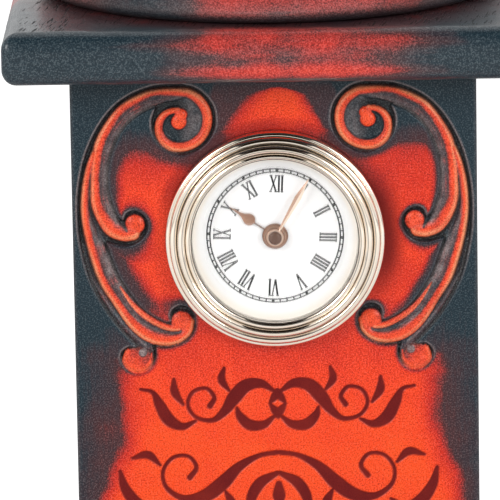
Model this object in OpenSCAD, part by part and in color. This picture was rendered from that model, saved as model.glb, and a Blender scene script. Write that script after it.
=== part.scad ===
// Carved wooden clock: a square column between two rounded plates, with a turned top.
// A round push-in clock sits in the front board, between two carved scrolls.
// Origin: centre of the rectangle that the feet stand on. +Z is up, the clock faces -Y.

/* [Column] */
// Width and depth of the square column
body_w = 120; // [112:1:150]
// Height of the column between the two plates
body_h = 190; // [170:1:260]
// Thickness of the carved front board
front_t = 12; // [11:0.5:16]
// Thickness of each side board
side_t = 10; // [6:0.5:14]
// Thickness of the back board
back_t = 10; // [6:0.5:14]
// Rounding of the column's upright edges
edge_r = 1.2; // [0.5:0.1:3]
// Side of the square strips glued into the inner corners
strip_w = 12; // [10:0.5:16]

/* [Plates] */
// Width and depth of the base and cornice plates
plate_w = 158; // [150:1:190]
// Thickness of both plates
plate_t = 16; // [13:0.5:24]
// Rounding of the plates' long edges
plate_r = 5; // [1:0.5:6]
// Diameter of each felt foot
foot_d = 20; // [10:1:24]
// Thickness of the felt feet
foot_t = 3; // [2:0.5:6]
// Distance of each foot's centre from the middle, along X and along Y
foot_reach = 58; // [50:1:60]

/* [Turned top] */
// Diameter of the round disc on the cornice
disc_d = 142; // [110:1:148]
// Thickness of the round disc
disc_t = 18; // [16:0.5:26]
// Rounding of the round disc's rim
disc_r = 4.5; // [1:0.5:7]
// Diameter of the small disc above it
crown_d = 104; // [92:1:108]
// Thickness of the small disc
crown_t = 12; // [8:0.5:20]
// Rounding of the small disc's rim
crown_r = 3.5; // [1:0.5:3.5]
// Diameter of the dome's foot
dome_d = 80; // [70:1:90]
// Height of the dome
dome_h = 22; // [18:1:30]
// Diameter of the finial's ball
finial_d = 18; // [14:1:22]
// Height of the finial's neck under the ball
finial_neck_h = 5; // [3:0.5:10]
// Diameter of the finial's neck
finial_neck_d = 11; // [10:0.5:13]

/* [Fasteners in the case] */
// Diameter of the dowels between column and cornice
dowel_d = 6; // [4:0.5:8]
// Depth of each dowel on either side of the joint
dowel_reach = 12; // [6:0.5:12]
// Diameter of the dowel up the middle of the turned top
top_dowel_d = 8; // [6:0.5:9]
// Diameter of the wood screws
screw_d = 4; // [3:0.5:5]
// Diameter of the wood screws' heads
screw_head_d = 8; // [6:0.5:9]
// Depth of the base screws in the corner strips
base_screw_bite = 22; // [12:1:30]
// Depth of the disc screws in the round disc
disc_screw_bite = 12; // [6:0.5:13]
// Distance of the disc screws from the middle
disc_screw_reach = 36; // [20:1:42]
// Gap round a dowel or screw in its hole
glue_gap = 0.1; // [0.05:0.05:0.2]

/* [Clock insert] */
// Distance of the clock's centre below the cornice
clock_drop = 49.7; // [45:0.1:60]
// Outer diameter of the gold bezel
bezel_d = 65; // [65:0.5:68]
// Height of the bezel's front rib above the board
bezel_h = 7; // [6.5:0.1:8]
// Diameter of the opening in the bezel
window_d = 49.3; // [48.5:0.1:49.8]
// Diameter of the hole in the front board
bore_d = 55; // [55:0.1:57]
// Outer diameter of the plastic cup
cup_d = 53.8; // [53.8:0.1:54]
// Depth of the cup behind the board's face
cup_depth = 15.6; // [15.6:0.1:18]
// Wall of the cup
cup_wall = 1.5; // [1:0.1:1.6]
// Thickness of the cup's flange under the bezel
flange_t = 1.5; // [1:0.1:1.6]
// Radial gap between the rubber grip ring and the hole
grip_gap = 0.08; // [0.04:0.01:0.1]

/* [Dial and hands] */
// Depth of the dial's face behind the board's face
dial_depth = 2.3; // [2:0.1:2.5]
// Thickness of the dial
dial_t = 0.4; // [0.2:0.05:0.6]
// Inner diameter of the reflector ring at the dial
reflector_d = 43.4; // [42:0.1:45]
// Thickness of the flat lens
lens_t = 1.2; // [0.8:0.1:1.5]
// Length of the hour hand
hour_len = 16.2; // [12:0.1:18]
// Length of the minute hand
minute_len = 20.4; // [17:0.1:21]
// Angle of the hour hand at rest, clockwise from twelve
hour_angle = 304; // [0:1:359]
// Angle of the minute hand at rest, clockwise from twelve
minute_angle = 30; // [0:1:359]
// Radius of the round bulb on the hour hand
bulb_r = 1.75; // [1.2:0.05:2.2]
// Diameter of the cap on the hands
cap_d = 3.9; // [3:0.1:5]

/* [Movement] */
// Side of the square movement case
move_w = 34; // [34:0.1:35]
// Wall of the movement case
move_wall = 0.8; // [0.6:0.1:0.9]
// Diameter of the button cell
cell_d = 11.6; // [11:0.1:11.6]
// Thickness of the button cell
cell_t = 5.4; // [4.8:0.1:5.4]
// Diameter of the battery cover
cover_d = 13.8; // [13:0.1:14.2]
// Diameter of the set knob
knob_d = 8; // [6:0.1:9]
// Radial gap of the turning pieces on their posts
run_gap = 0.05; // [0.02:0.01:0.1]

/* [Hidden] */
$fn = 64;
// Small overlap that joins solids, and how far a cutting solid reaches past the faces that it cuts
e = 0.01;
over = 1;

// Heights of the case
base_z = foot_t;
column_z = base_z + plate_t;
cornice_z = column_z + body_h;
disc_z = cornice_z + plate_t;
crown_z = disc_z + disc_t;
dome_z = crown_z + crown_t;
finial_z = dome_z + dome_h;
clock_z = cornice_z - clock_drop;
half_w = body_w / 2;
// Middle of the corner strips, where dowels and screws go
strip_x = half_w - side_t - strip_w / 2;
strip_front = -half_w + front_t + strip_w / 2;
strip_back = half_w - back_t - strip_w / 2;
screw_rim_h = 0.5;
screw_tip_r = 0.4;
screw_head_h = (screw_head_d - screw_d) / 2 + screw_rim_h;
top_dowel_low = disc_z + disc_t / 2;
top_dowel_high = finial_z + finial_neck_h;
dome_rim = 3;
finial_collar = 2;

// Depths in the clock insert, along its own axis: zero is the board's face and plus is forward
dial_z = -dial_depth;
dial_back = dial_z - dial_t;
cup_back = -cup_depth;
cup_back_t = 1.4;
cup_floor = cup_back + cup_back_t;
lens_z = 2.9;
lens_gap = 0.15;
lens_lap = 0.95;
lens_d = window_d + 2 * lens_lap;
bezel_skirt = 1.5;
flange_d = bezel_d - 2 * bezel_skirt;
reflector_gap = 0.15;
reflector_lip = 0.2;
cup_in_d = cup_d - 2 * cup_wall;
post_gap = 0.4;
grip_low = -0.58 * cup_depth;
grip_h = 0.4 * cup_depth;
grip_lip_h = 1.2;
grip_lip_rise = 0.15;

// Layers of the wheel train
layer = 1;
wheel_t = 0.6;
hour_wheel_z = dial_back - move_wall - layer;
motion_z = hour_wheel_z - layer;
centre_wheel_z = motion_z - 1.5 * layer;
inter_wheel_z = centre_wheel_z - 1.4 * layer;
stator_t = 0.8;
stator_z = inter_wheel_z - 2.4 * layer;
pinion_over = 0.1;
split_z = -8;

// Hands: levels of their backs, tops of the pipe and the arbor, hubs and stems
hand_t = 0.3;
hour_hand_z = -1.75;
pipe_top = -1.4;
minute_hand_z = 0.7 - e;
cap_z = minute_hand_z + hand_t;
cap_h = 0.9;
cap_bevel = 0.5;
arbor_top = 1.7;
hour_hub_r = 3.85;
minute_hub_r = 2.9;
hour_stem_w = 0.9;
minute_neck_w = 0.7;
minute_blade_w = 2;

// Wheel train: modules, teeth and places
motion_m = 0.25;
hour_m = 0.24;
centre_m = 0.2;
rotor_m = 0.15;
cannon_n = 12;
motion_n = 36;
motion_pinion_n = 10;
hour_n = 40;
centre_n = 72;
inter_pinion_n = 8;
inter_n = 60;
rotor_n = 6;
knob_n = 12;
motion_dir = 0;
knob_dir = 45;
inter_dir = 150;
rotor_dir = 100;
motion_pos = polar((cannon_n + motion_n) / 2 * motion_m, motion_dir);
knob_pos = motion_pos + polar((motion_n + knob_n) / 2 * motion_m, knob_dir);
inter_pos = polar((centre_n + inter_pinion_n) / 2 * centre_m, inter_dir);
rotor_pos = inter_pos + polar((inter_n + rotor_n) / 2 * rotor_m, rotor_dir);
motion_phase = mesh_phase(motion_dir, 0, cannon_n, motion_n);
knob_phase = mesh_phase(knob_dir, motion_phase, motion_n, knob_n);
hour_phase = mesh_phase(motion_dir + 180, 0, motion_pinion_n, hour_n);
inter_phase = mesh_phase(inter_dir, 0, centre_n, inter_pinion_n);
rotor_phase = mesh_phase(rotor_dir, 0, inter_n, rotor_n);

// Radii of the arbors and pipes
arbor_r = 0.6;
cannon_r = 0.85;
pipe_in_r = 1.05;
pipe_r = 1.5;
post_r = 0.4;
thin_post_r = 0.25;
stem_r = 1;
inter_arbor_r = 0.5;
rotor_arbor_r = 0.2;
magnet_r = 1.4;
magnet_over = 0.2;
knob_gap = 0.3;
knob_t = 2.5;
knob_ribs = 18;
knob_rib = 0.35;

// Movement case: screws in its corners, and the bosses, bearings and supports on its back half
inner_w = move_w - 2 * move_wall;
screw_pos = inner_w / 2 - 1.8;
case_screw_l = 0.82 * (dial_back - move_wall - cup_floor);
case_screw_r = 0.45;
case_head_r = 0.95;
case_head_h = 0.7;
boss_r = 1.5;
bearing_r = 1.6;
bearing_h = 2;
shoulder_r = 0.8;
rotor_bearing_h = 1.2;
support_r = 1;

// Stator plate with its two legs, the core across them and the coil on it
stator_x = -12.2;
stator_y = 7;
stator_w = 23.4;
stator_bar = 3.8;
leg_w = 2.6;
coil_x = -8;
coil_y = 13.4;
coil_l = 14;
coil_r = 2.2;
core_w = 2;

// Button cell, circuit board and the parts on it
cell_pos = [3, -10.2];
cell_z = split_z - 0.4;
board_size = [8.3, 10.5, 0.8];
board_pos = [-12.5, -15.5, cell_z - board_size[2]];
board_supports = [[2, 2], [2, 8]];
chip_at = [5.6, 2.4];
chip_r = 1.5;
chip_t = 0.6;
crystal_at = [2.2, 2];
crystal_r = 0.95;
crystal_l = 6;
strip_t = 0.25;
top_strip_w = 2;
side_strip_w = 3.6;
strip_lap = 0.8;
cover_gap = 0.1;
slot_w = 1.6;
slot_depth = 0.7;

function polar(r, a) = [r * cos(a), r * sin(a)];

// Rotation of a wheel with nb teeth so that it meshes with a wheel of na teeth, which is turned by
// phase_a and lies in the direction dir + 180 from it
function mesh_phase(dir, phase_a, na, nb) = dir + 180 - (0.5 - (dir - phase_a) * na / 360) * 360 / nb;

// Outline of a toothed wheel: four points a tooth, with plenty of play between the teeth
function tooth_outline(n, m) = [
    for (i = [0:n - 1])
        for (k = [[-0.30, -1.15], [-0.07, 0.8], [0.07, 0.8], [0.30, -1.15]])
            polar(n * m / 2 + k[1] * m, (i + k[0]) * 360 / n)
];

// Point of a smooth curve through the points p, at u from 0 to len(p) - 1
function spline(p, u) =
    let (i = min(floor(u), len(p) - 2), t = u - i)
    let (a = p[max(i - 1, 0)], b = p[i], c = p[i + 1], d = p[min(i + 2, len(p) - 1)])
    0.5 * (2 * b + (c - a) * t + (2 * a - 5 * b + 4 * c - d) * t * t + (3 * b - a - 3 * c + d) * t * t * t);

// Outline of a band: each point of the middle line is [x, y, half width]
band_steps = 6;
function band_side(p, side, extra) = [
    for (k = [0:(len(p) - 1) * band_steps])
        let (u = k / band_steps, q = spline(p, u))
        let (d = spline(p, min(u + e, len(p) - 1)) - spline(p, max(u - e, 0)))
        let (l = norm([d[0], d[1]]))
        [q[0] - side * d[1] / l * (q[2] + extra), q[1] + side * d[0] / l * (q[2] + extra)]
];
function reversed(l) = [for (k = [len(l) - 1:-1:0]) l[k]];
function band(p, extra) = concat(band_side(p, 1, extra), reversed(band_side(p, -1, extra)));

module wheel(n, m, t) {
    linear_extrude(t) polygon(tooth_outline(n, m));
}

// Moves children from the insert's own axes to their place in the front board
module at_clock() {
    translate([0, -half_w, clock_z]) rotate([90, 0, 0]) children();
}

module at_corners(reach_x, front, back) {
    for (x = [-reach_x, reach_x])
        for (y = [front, back])
            translate([x, y, 0]) children();
}

// Square plate with rounded long edges and mitred corners
module rounded_plate(w, t, r) {
    module bar() {
        translate([w / 2, 0, 0]) rotate([0, -90, 0]) linear_extrude(w) {
            translate([r, -w / 2]) square([t - 2 * r, w]);
            translate([0, -w / 2 + r]) square([t, w - 2 * r]);
            for (x = [r, t - r])
                for (y = [-w / 2 + r, w / 2 - r])
                    translate([x, y]) circle(r);
        }
    }
    intersection() {
        bar();
        rotate([0, 0, 90]) bar();
    }
}

// Round disc with a rounded rim
module rounded_disc(d, t, r) {
    $fn = 128;
    rotate_extrude() {
        square([d / 2 - r, t]);
        translate([0, r]) square([d / 2, t - 2 * r]);
        for (z = [r, t - r])
            translate([d / 2 - r, z]) circle(r, $fn = 32);
    }
}

// Countersunk wood screw with its head's face at zero, pointing up
module wood_screw(length, gap) {
    cylinder(h = screw_head_h, r1 = screw_head_d / 2 + gap, r2 = screw_d / 2 + gap);
    cylinder(h = length - screw_d / 2, r = screw_d / 2 + gap);
    translate([0, 0, length - screw_d / 2 - e])
        cylinder(h = screw_d / 2, r1 = screw_d / 2 + gap, r2 = screw_tip_r);
}

module felt_feet() {
    color("#3b3a38") at_corners(foot_reach, -foot_reach, foot_reach) cylinder(h = foot_t, d = foot_d);
}

module base_screw_set(gap) {
    at_corners(strip_x, strip_front, strip_back)
        translate([0, 0, base_z]) wood_screw(plate_t + base_screw_bite, gap);
}

module base_plate() {
    color("#24323a") difference() {
        translate([0, 0, base_z]) rounded_plate(plate_w, plate_t, plate_r);
        base_screw_set(glue_gap);
    }
}

module base_screws() {
    color("silver") base_screw_set(0);
}

// Scroll middle lines to the left of the clock's centre: x, y and half width
stem_line = [
    [-24, 42, 1.6], [-31, 43.4, 1.9], [-37, 42, 2.9], [-44, 38, 3.7], [-50.5, 30.5, 3.3],
    [-53.7, 20.5, 4], [-53, 11.5, 4.6], [-49.6, 5, 2.4], [-44.5, 1.8, 1.6],
];
branch_line = [
    [-57, 8.5, 0.9], [-55.4, 0, 2], [-51.6, -9.5, 3], [-47.5, -18.5, 3.4], [-42, -25.4, 3.2],
    [-35.5, -29.6, 2.8], [-30, -30.6, 2], [-26, -28.6, 1.4],
];
volute_eye = [-28, 36];
volute_r = 7.6;
volute_step = 1.5;
volute_rings = 4;
volute_w = 2.6;
volute_eye_r = 1.9;
mid_knob = [-41.8, 4.8];
low_knob = [-28.1, -25.2];
small_knob = [-41.6, -36.4];
knob_r = 3.4;
small_knob_r = 4.4;
groove_w = 1.8;
groove_depth = 2.2;
carving_root = 0.1;

// Stems and knobs of one scroll, each as an upright slab of the given height
module scroll_slabs(extra, h) {
    linear_extrude(h) polygon(band(stem_line, extra));
    linear_extrude(h) polygon(band(branch_line, extra));
    translate(mid_knob) cylinder(h = h, r = knob_r + extra);
    translate(low_knob) cylinder(h = h, r = knob_r + extra);
    translate(small_knob) cylinder(h = h, r = small_knob_r + extra);
}

// Volute: half rings that shrink in steps and shift sideways to join, round a raised eye
module volute(h) {
    translate(volute_eye) cylinder(h = h, r = volute_eye_r);
    for (k = [0:volute_rings - 1]) {
        odd = k % 2;
        r = volute_r - k * volute_step;
        translate([volute_eye[0], volute_eye[1] + odd * volute_step, 0]) rotate([0, 0, odd * 180 - 90])
            rotate_extrude(angle = 180) translate([r - volute_w / 2, 0]) square([volute_w, h]);
    }
}

module front_panel() {
    color("#c8402a") {
        difference() {
            translate([0, 0, column_z]) linear_extrude(body_h) {
                translate([-half_w, -half_w + edge_r]) square([body_w, front_t - edge_r]);
                translate([-half_w + edge_r, -half_w]) square([body_w - 2 * edge_r, edge_r + e]);
                for (x = [-half_w + edge_r, half_w - edge_r])
                    translate([x, -half_w + edge_r]) circle(edge_r, $fn = 24);
            }
            at_clock() translate([0, 0, -front_t - over])
                cylinder(h = front_t + 2 * over, d = bore_d, $fn = 128);
            at_clock() for (m = [0, 1])
                mirror([m, 0, 0]) translate([0, 0, -groove_depth]) {
                    scroll_slabs(groove_w, groove_depth + over);
                    translate(volute_eye)
                        cylinder(h = groove_depth + over, r = volute_r + volute_w / 2 + groove_w - 0.3);
                }
        }
        at_clock() for (m = [0, 1])
            mirror([m, 0, 0]) translate([0, 0, -groove_depth - carving_root]) {
                scroll_slabs(0, groove_depth + carving_root);
                volute(groove_depth + carving_root);
            }
    }
}

module side_panel() {
    translate([-half_w, -half_w + front_t, column_z]) cube([side_t, body_w - front_t - back_t, body_h]);
}

module left_panel() {
    color("#27363e") side_panel();
}

module right_panel() {
    color("#27363e") mirror([1, 0, 0]) side_panel();
}

module back_panel() {
    color("#27363e") translate([0, 0, column_z]) linear_extrude(body_h) {
        translate([-half_w, half_w - back_t]) square([body_w, back_t - edge_r]);
        translate([-half_w + edge_r, half_w - edge_r - e]) square([body_w - 2 * edge_r, edge_r + e]);
        for (x = [-half_w + edge_r, half_w - edge_r])
            translate([x, half_w - edge_r]) circle(edge_r, $fn = 24);
    }
}

module cornice_dowel_set(gap) {
    at_corners(strip_x, strip_front, strip_back)
        translate([0, 0, cornice_z - dowel_reach - gap])
            cylinder(h = 2 * dowel_reach + 2 * gap, d = dowel_d + 2 * gap);
}

module corner_strips() {
    color("#caa878") difference() {
        at_corners(strip_x, strip_front, strip_back)
            translate([-strip_w / 2, -strip_w / 2, column_z]) cube([strip_w, strip_w, body_h]);
        cornice_dowel_set(glue_gap);
        base_screw_set(glue_gap);
    }
}

module cornice_dowels() {
    color("#dcc293") cornice_dowel_set(0);
}

module disc_screw_set(gap) {
    for (a = [90:120:330])
        rotate([0, 0, a]) translate([disc_screw_reach, 0, cornice_z])
            wood_screw(plate_t + disc_screw_bite, gap);
}

module cornice_plate() {
    color("#24323a") difference() {
        translate([0, 0, cornice_z]) rounded_plate(plate_w, plate_t, plate_r);
        cornice_dowel_set(glue_gap);
        disc_screw_set(glue_gap);
    }
}

module disc_screws() {
    color("silver") disc_screw_set(0);
}

module top_dowel_rod(gap) {
    translate([0, 0, top_dowel_low - gap])
        cylinder(h = top_dowel_high - top_dowel_low + 2 * gap, d = top_dowel_d + 2 * gap);
}

module round_disc() {
    color("#7c2a20") difference() {
        translate([0, 0, disc_z]) rounded_disc(disc_d, disc_t, disc_r);
        disc_screw_set(glue_gap);
        top_dowel_rod(glue_gap);
    }
}

module crown_disc() {
    color("#24323a") difference() {
        translate([0, 0, crown_z]) rounded_disc(crown_d, crown_t, crown_r);
        top_dowel_rod(glue_gap);
    }
}

// Dome: a slice of a ball above a straight rim
module dome() {
    top_h = dome_h - dome_rim;
    ball_r = (dome_d * dome_d / 4 + top_h * top_h) / (2 * top_h);
    color("#7c2a20") difference() {
        translate([0, 0, dome_z]) rotate_extrude($fn = 128) {
            square([dome_d / 2, dome_rim]);
            intersection() {
                translate([0, dome_h - ball_r]) circle(ball_r, $fn = 256);
                translate([0, dome_rim - e]) square([dome_d / 2, top_h + over]);
            }
        }
        top_dowel_rod(glue_gap);
    }
}

module top_dowel() {
    color("#dcc293") top_dowel_rod(0);
}

module finial() {
    ball_z = finial_neck_h + finial_d / 2 - finial_collar;
    color("#24323a") difference() {
        translate([0, 0, finial_z]) rotate_extrude() {
            square([finial_neck_d / 2 + finial_collar, finial_collar]);
            square([finial_neck_d / 2, ball_z]);
            intersection() {
                translate([0, ball_z]) circle(finial_d / 2);
                square([finial_d, ball_z + finial_d]);
            }
        }
        top_dowel_rod(glue_gap);
    }
}

module insert_cup() {
    color("#1c1c1e") at_clock() difference() {
        union() {
            translate([0, 0, cup_back]) cylinder(h = cup_depth, d = cup_d, $fn = 128);
            cylinder(h = flange_t, d = flange_d, $fn = 128);
        }
        translate([0, 0, cup_floor]) cylinder(h = cup_depth + flange_t, d = cup_in_d, $fn = 128);
        translate([cell_pos[0], cell_pos[1], cup_back - over])
            cylinder(h = cup_back_t + 2 * over, d = cover_d + 2 * grip_gap);
        translate([knob_pos[0], knob_pos[1], cup_back - over])
            cylinder(h = cup_back_t + 2 * over, r = stem_r + run_gap);
    }
}

// Rubber ring with two raised lips that hold the cup in the hole
module grip_ring() {
    lip_r = bore_d / 2 - grip_gap;
    color("#2b2b2b") at_clock() difference() {
        union() {
            for (z = [grip_low, grip_low + grip_h - grip_lip_h])
                translate([0, 0, z]) cylinder(h = grip_lip_h, r = lip_r, $fn = 128);
            translate([0, 0, grip_low]) cylinder(h = grip_h, r = lip_r - grip_lip_rise, $fn = 128);
        }
        translate([0, 0, grip_low - over]) cylinder(h = grip_h + 2 * over, d = cup_d, $fn = 128);
    }
}

// Radius and height of each round rib of the bezel, and the rib's own radius
bezel_ribs = [
    [bezel_d / 2 - 0.9, 3.3, 0.9], [bezel_d / 2 - 2.4, 4.7, 1.15],
    [bezel_d / 2 - 4.7, bezel_h - 1.15, 1.15], [window_d / 2 + 1, 5.7, 1],
];

module bezel() {
    color("#d9b98c") at_clock() rotate_extrude($fn = 128) difference() {
        union() {
            polygon([
                [bezel_d / 2, 0], [bezel_d / 2, bezel_ribs[0][1]], [bezel_ribs[0][0], bezel_ribs[0][1]],
                [bezel_ribs[1][0], bezel_ribs[1][1]], [bezel_ribs[2][0], bezel_ribs[2][1]],
                [bezel_ribs[3][0], bezel_ribs[3][1]], [window_d / 2, bezel_ribs[3][1]], [window_d / 2, 0],
            ]);
            for (rib = bezel_ribs)
                translate([rib[0], rib[1]]) circle(rib[2], $fn = 32);
        }
        square([flange_d / 2 + lens_gap, flange_t]);
        square([lens_d / 2 + lens_gap, lens_z + lens_t]);
    }
}

module lens() {
    color("#dfeef5", 0.35) at_clock() translate([0, 0, lens_z]) cylinder(h = lens_t, d = lens_d, $fn = 128);
}

// Sloping ring between the lens and the dial
module reflector_ring() {
    out_r = cup_in_d / 2 - reflector_gap;
    color("#efe3c4") at_clock() rotate_extrude($fn = 128)
        polygon([
            [reflector_d / 2, dial_z], [out_r, dial_z], [out_r, flange_t], [lens_d / 2, flange_t],
            [lens_d / 2, lens_z], [window_d / 2 - reflector_lip, lens_z],
        ]);
}

module dial() {
    color("#f6f5f0") at_clock() translate([0, 0, dial_back]) linear_extrude(dial_t) difference() {
        circle(d = cup_in_d - 2 * reflector_gap, $fn = 128);
        circle(r = pipe_r + post_gap);
    }
}

module movement_screw_set(gap) {
    for (x = [-screw_pos, screw_pos])
        for (y = [-screw_pos, screw_pos])
            translate([x, y, cup_floor]) {
                cylinder(h = case_head_h, r = case_head_r + gap);
                cylinder(h = case_screw_l, r = case_screw_r + gap);
            }
}

module movement_bosses(low, high) {
    for (x = [-screw_pos, screw_pos])
        for (y = [-screw_pos, screw_pos])
            translate([x, y, low]) cylinder(h = high - low, r = boss_r);
}

// Front half of the movement case, with the motion wheel's post
module movement_front() {
    face = dial_back;
    color("#e9e4d6") at_clock() difference() {
        union() {
            difference() {
                translate([-move_w / 2, -move_w / 2, split_z]) cube([move_w, move_w, face - split_z]);
                translate([-inner_w / 2, -inner_w / 2, split_z - over])
                    cube([inner_w, inner_w, face - move_wall - split_z + over]);
            }
            movement_bosses(split_z, face - move_wall + e);
            translate([motion_pos[0], motion_pos[1], motion_z - wheel_t / 2])
                cylinder(h = face - motion_z, r = post_r);
        }
        translate([0, 0, face - move_wall - over])
            cylinder(h = move_wall + 2 * over, r = pipe_r + post_gap / 2);
        movement_screw_set(run_gap);
    }
}

// Back half of the movement case, with the posts and bearings of the train
module movement_back() {
    wall_top = cup_floor + move_wall;
    color("#e9e4d6") at_clock() difference() {
        union() {
            difference() {
                translate([-move_w / 2, -move_w / 2, cup_floor]) cube([move_w, move_w, split_z - cup_floor]);
                translate([-inner_w / 2, -inner_w / 2, wall_top]) cube([inner_w, inner_w, cup_depth]);
            }
            movement_bosses(cup_floor, split_z);
            translate([0, 0, wall_top - e]) cylinder(h = bearing_h, r = bearing_r);
            translate([inter_pos[0], inter_pos[1], wall_top - e])
                cylinder(h = centre_wheel_z + wheel_t - wall_top, r = thin_post_r);
            translate([inter_pos[0], inter_pos[1], wall_top - e])
                cylinder(h = inter_wheel_z - wheel_t / 2 - wall_top, r = shoulder_r);
            translate([rotor_pos[0], rotor_pos[1], wall_top - e])
                cylinder(h = rotor_bearing_h, r = support_r);
            for (at = board_supports)
                translate([board_pos[0] + at[0], board_pos[1] + at[1], wall_top - e])
                    cylinder(h = board_pos[2] - wall_top + e, r = support_r);
            for (x = [stator_x + leg_w / 2, stator_x + stator_w - leg_w / 2])
                translate([x, stator_y + stator_bar / 2, wall_top - e])
                    cylinder(h = stator_z - wall_top + e, r = support_r);
        }
        translate([0, 0, cup_floor - over])
            cylinder(h = move_wall + bearing_h + 2 * over, r = arbor_r + run_gap);
        translate([rotor_pos[0], rotor_pos[1], wall_top])
            cylinder(h = rotor_bearing_h + over, r = rotor_arbor_r + run_gap);
        translate([cell_pos[0], cell_pos[1], cup_floor - over])
            cylinder(h = move_wall + 2 * over, d = cell_d + 2 * knob_gap);
        translate([knob_pos[0], knob_pos[1], cup_floor - over])
            cylinder(h = move_wall + 2 * over, r = stem_r + run_gap);
        movement_screw_set(run_gap);
    }
}

module movement_screws() {
    color("silver") at_clock() movement_screw_set(0);
}

// Steel stator plate round the rotor, with legs to the coil's core
module stator() {
    leg_low = stator_y + stator_bar - strip_lap;
    color("#8f979c") at_clock() {
        translate([0, 0, stator_z]) linear_extrude(stator_t) difference() {
            union() {
                translate([stator_x, stator_y]) square([stator_w, stator_bar]);
                for (x = [stator_x, stator_x + stator_w - leg_w])
                    translate([x, leg_low]) square([leg_w, coil_y + 0.6 * core_w - leg_low]);
            }
            translate(rotor_pos) circle(magnet_r + post_gap);
        }
        translate([stator_x, coil_y - core_w / 2, stator_z + stator_t]) cube([stator_w, core_w, stator_t]);
    }
}

module coil() {
    color("#b5622e") at_clock() difference() {
        translate([coil_x, coil_y, stator_z + 1.5 * stator_t])
            rotate([0, 90, 0]) cylinder(h = coil_l, r = coil_r);
        translate([coil_x - over, coil_y - core_w / 2, stator_z + stator_t])
            cube([coil_l + 2 * over, core_w, stator_t]);
    }
}

module circuit_board() {
    color("#2f6b3c") at_clock() translate(board_pos) cube(board_size);
}

module chip() {
    color("#141414") at_clock() translate([board_pos[0] + chip_at[0], board_pos[1] + chip_at[1], cell_z])
        cylinder(h = chip_t, r = chip_r);
}

module quartz_crystal() {
    color("#c9ccd0") at_clock()
        translate([board_pos[0] + crystal_at[0], board_pos[1] + crystal_at[1], cell_z + crystal_r])
            rotate([-90, 0, 0]) cylinder(h = crystal_l, r = crystal_r);
}

module button_cell() {
    color("#b9bcc0") at_clock() translate([cell_pos[0], cell_pos[1], cell_z - cell_t])
        cylinder(h = cell_t, d = cell_d);
}

// Two spring strips from the board: one over the cell, and one under the board up the cell's side
module cell_contacts() {
    edge = board_pos[0] + board_size[0] - strip_lap;
    side = cell_pos[0] - cell_d / 2 - strip_t - 0.1;
    color("#c9a24b") at_clock() {
        translate([edge, cell_pos[1] - top_strip_w / 2, cell_z]) cube([cell_d * 0.86, top_strip_w, strip_t]);
        translate([side, cell_pos[1] - side_strip_w / 2, cell_z - 0.85 * cell_t])
            cube([strip_t, side_strip_w, 0.85 * cell_t - board_size[2]]);
        translate([edge, cell_pos[1] - side_strip_w / 2, board_pos[2] - strip_t])
            cube([side + strip_t - edge, side_strip_w, strip_t]);
    }
}

// Arbor with the centre wheel and the cannon pinion, which turns once an hour
module centre_wheel() {
    color("#c9a24b") at_clock() {
        translate([0, 0, cup_floor + move_wall])
            cylinder(h = motion_z - cup_floor - move_wall + e, r = arbor_r);
        translate([0, 0, motion_z]) wheel(cannon_n, motion_m, wheel_t);
        translate([0, 0, motion_z + wheel_t - e])
            cylinder(h = minute_hand_z + e - motion_z - wheel_t, r = cannon_r);
        translate([0, 0, minute_hand_z - e]) cylinder(h = arbor_top - minute_hand_z + e, r = arbor_r);
        translate([0, 0, centre_wheel_z]) wheel(centre_n, centre_m, wheel_t);
    }
}

// Minute hand: a long narrow leaf, widest at two thirds of its length
module minute_hand() {
    wide = minute_len * 0.68;
    neck = minute_neck_w / 2;
    half = minute_blade_w / 2;
    low = minute_hub_r - minute_blade_w / 2;
    color("#a5785f") at_clock() translate([0, 0, minute_hand_z]) rotate([0, 0, -minute_angle]) difference() {
        union() {
            cylinder(h = hand_t, r = minute_hub_r);
            linear_extrude(hand_t)
                polygon([
                    [-neck, low], [-neck, minute_hub_r + 0.3], [-half, wide], [0, minute_len],
                    [half, wide], [neck, minute_hub_r + 0.3], [neck, low],
                ]);
        }
        translate([0, 0, -over]) cylinder(h = 2 * over, r = arbor_r);
    }
}

module hand_cap() {
    color("#4a332a") at_clock() translate([0, 0, cap_z]) difference() {
        union() {
            cylinder(h = cap_h, d = cap_d);
            translate([0, 0, cap_h - e]) cylinder(h = cap_bevel, d1 = cap_d, d2 = cap_d - 2.8 * cap_bevel);
        }
        translate([0, 0, -over]) cylinder(h = over + arbor_top - cap_z + run_gap, r = arbor_r);
    }
}

module hour_wheel() {
    color("#d8b45a") at_clock() difference() {
        union() {
            translate([0, 0, hour_wheel_z]) rotate([0, 0, hour_phase]) wheel(hour_n, hour_m, wheel_t);
            translate([0, 0, hour_wheel_z]) cylinder(h = pipe_top - hour_wheel_z, r = pipe_r);
        }
        translate([0, 0, hour_wheel_z - over])
            cylinder(h = pipe_top - hour_wheel_z + 2 * over, r = pipe_in_r);
    }
}

// Hour hand: a thin stem, a round bulb and a long point
module hour_hand() {
    bulb = hour_len * 0.57;
    wide = 0.9 * bulb_r;
    point_low = bulb + 0.4 * bulb_r;
    stem_low = hour_hub_r - hour_stem_w;
    color("#a5785f") at_clock() translate([0, 0, hour_hand_z]) rotate([0, 0, -hour_angle]) difference() {
        union() {
            cylinder(h = hand_t, r = hour_hub_r);
            translate([-hour_stem_w / 2, stem_low, 0]) cube([hour_stem_w, bulb - stem_low, hand_t]);
            translate([0, bulb, 0]) cylinder(h = hand_t, r = bulb_r);
            linear_extrude(hand_t) polygon([[-wide, point_low], [0, hour_len], [wide, point_low]]);
        }
        translate([0, 0, -over]) cylinder(h = 2 * over, r = pipe_r);
    }
}

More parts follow.
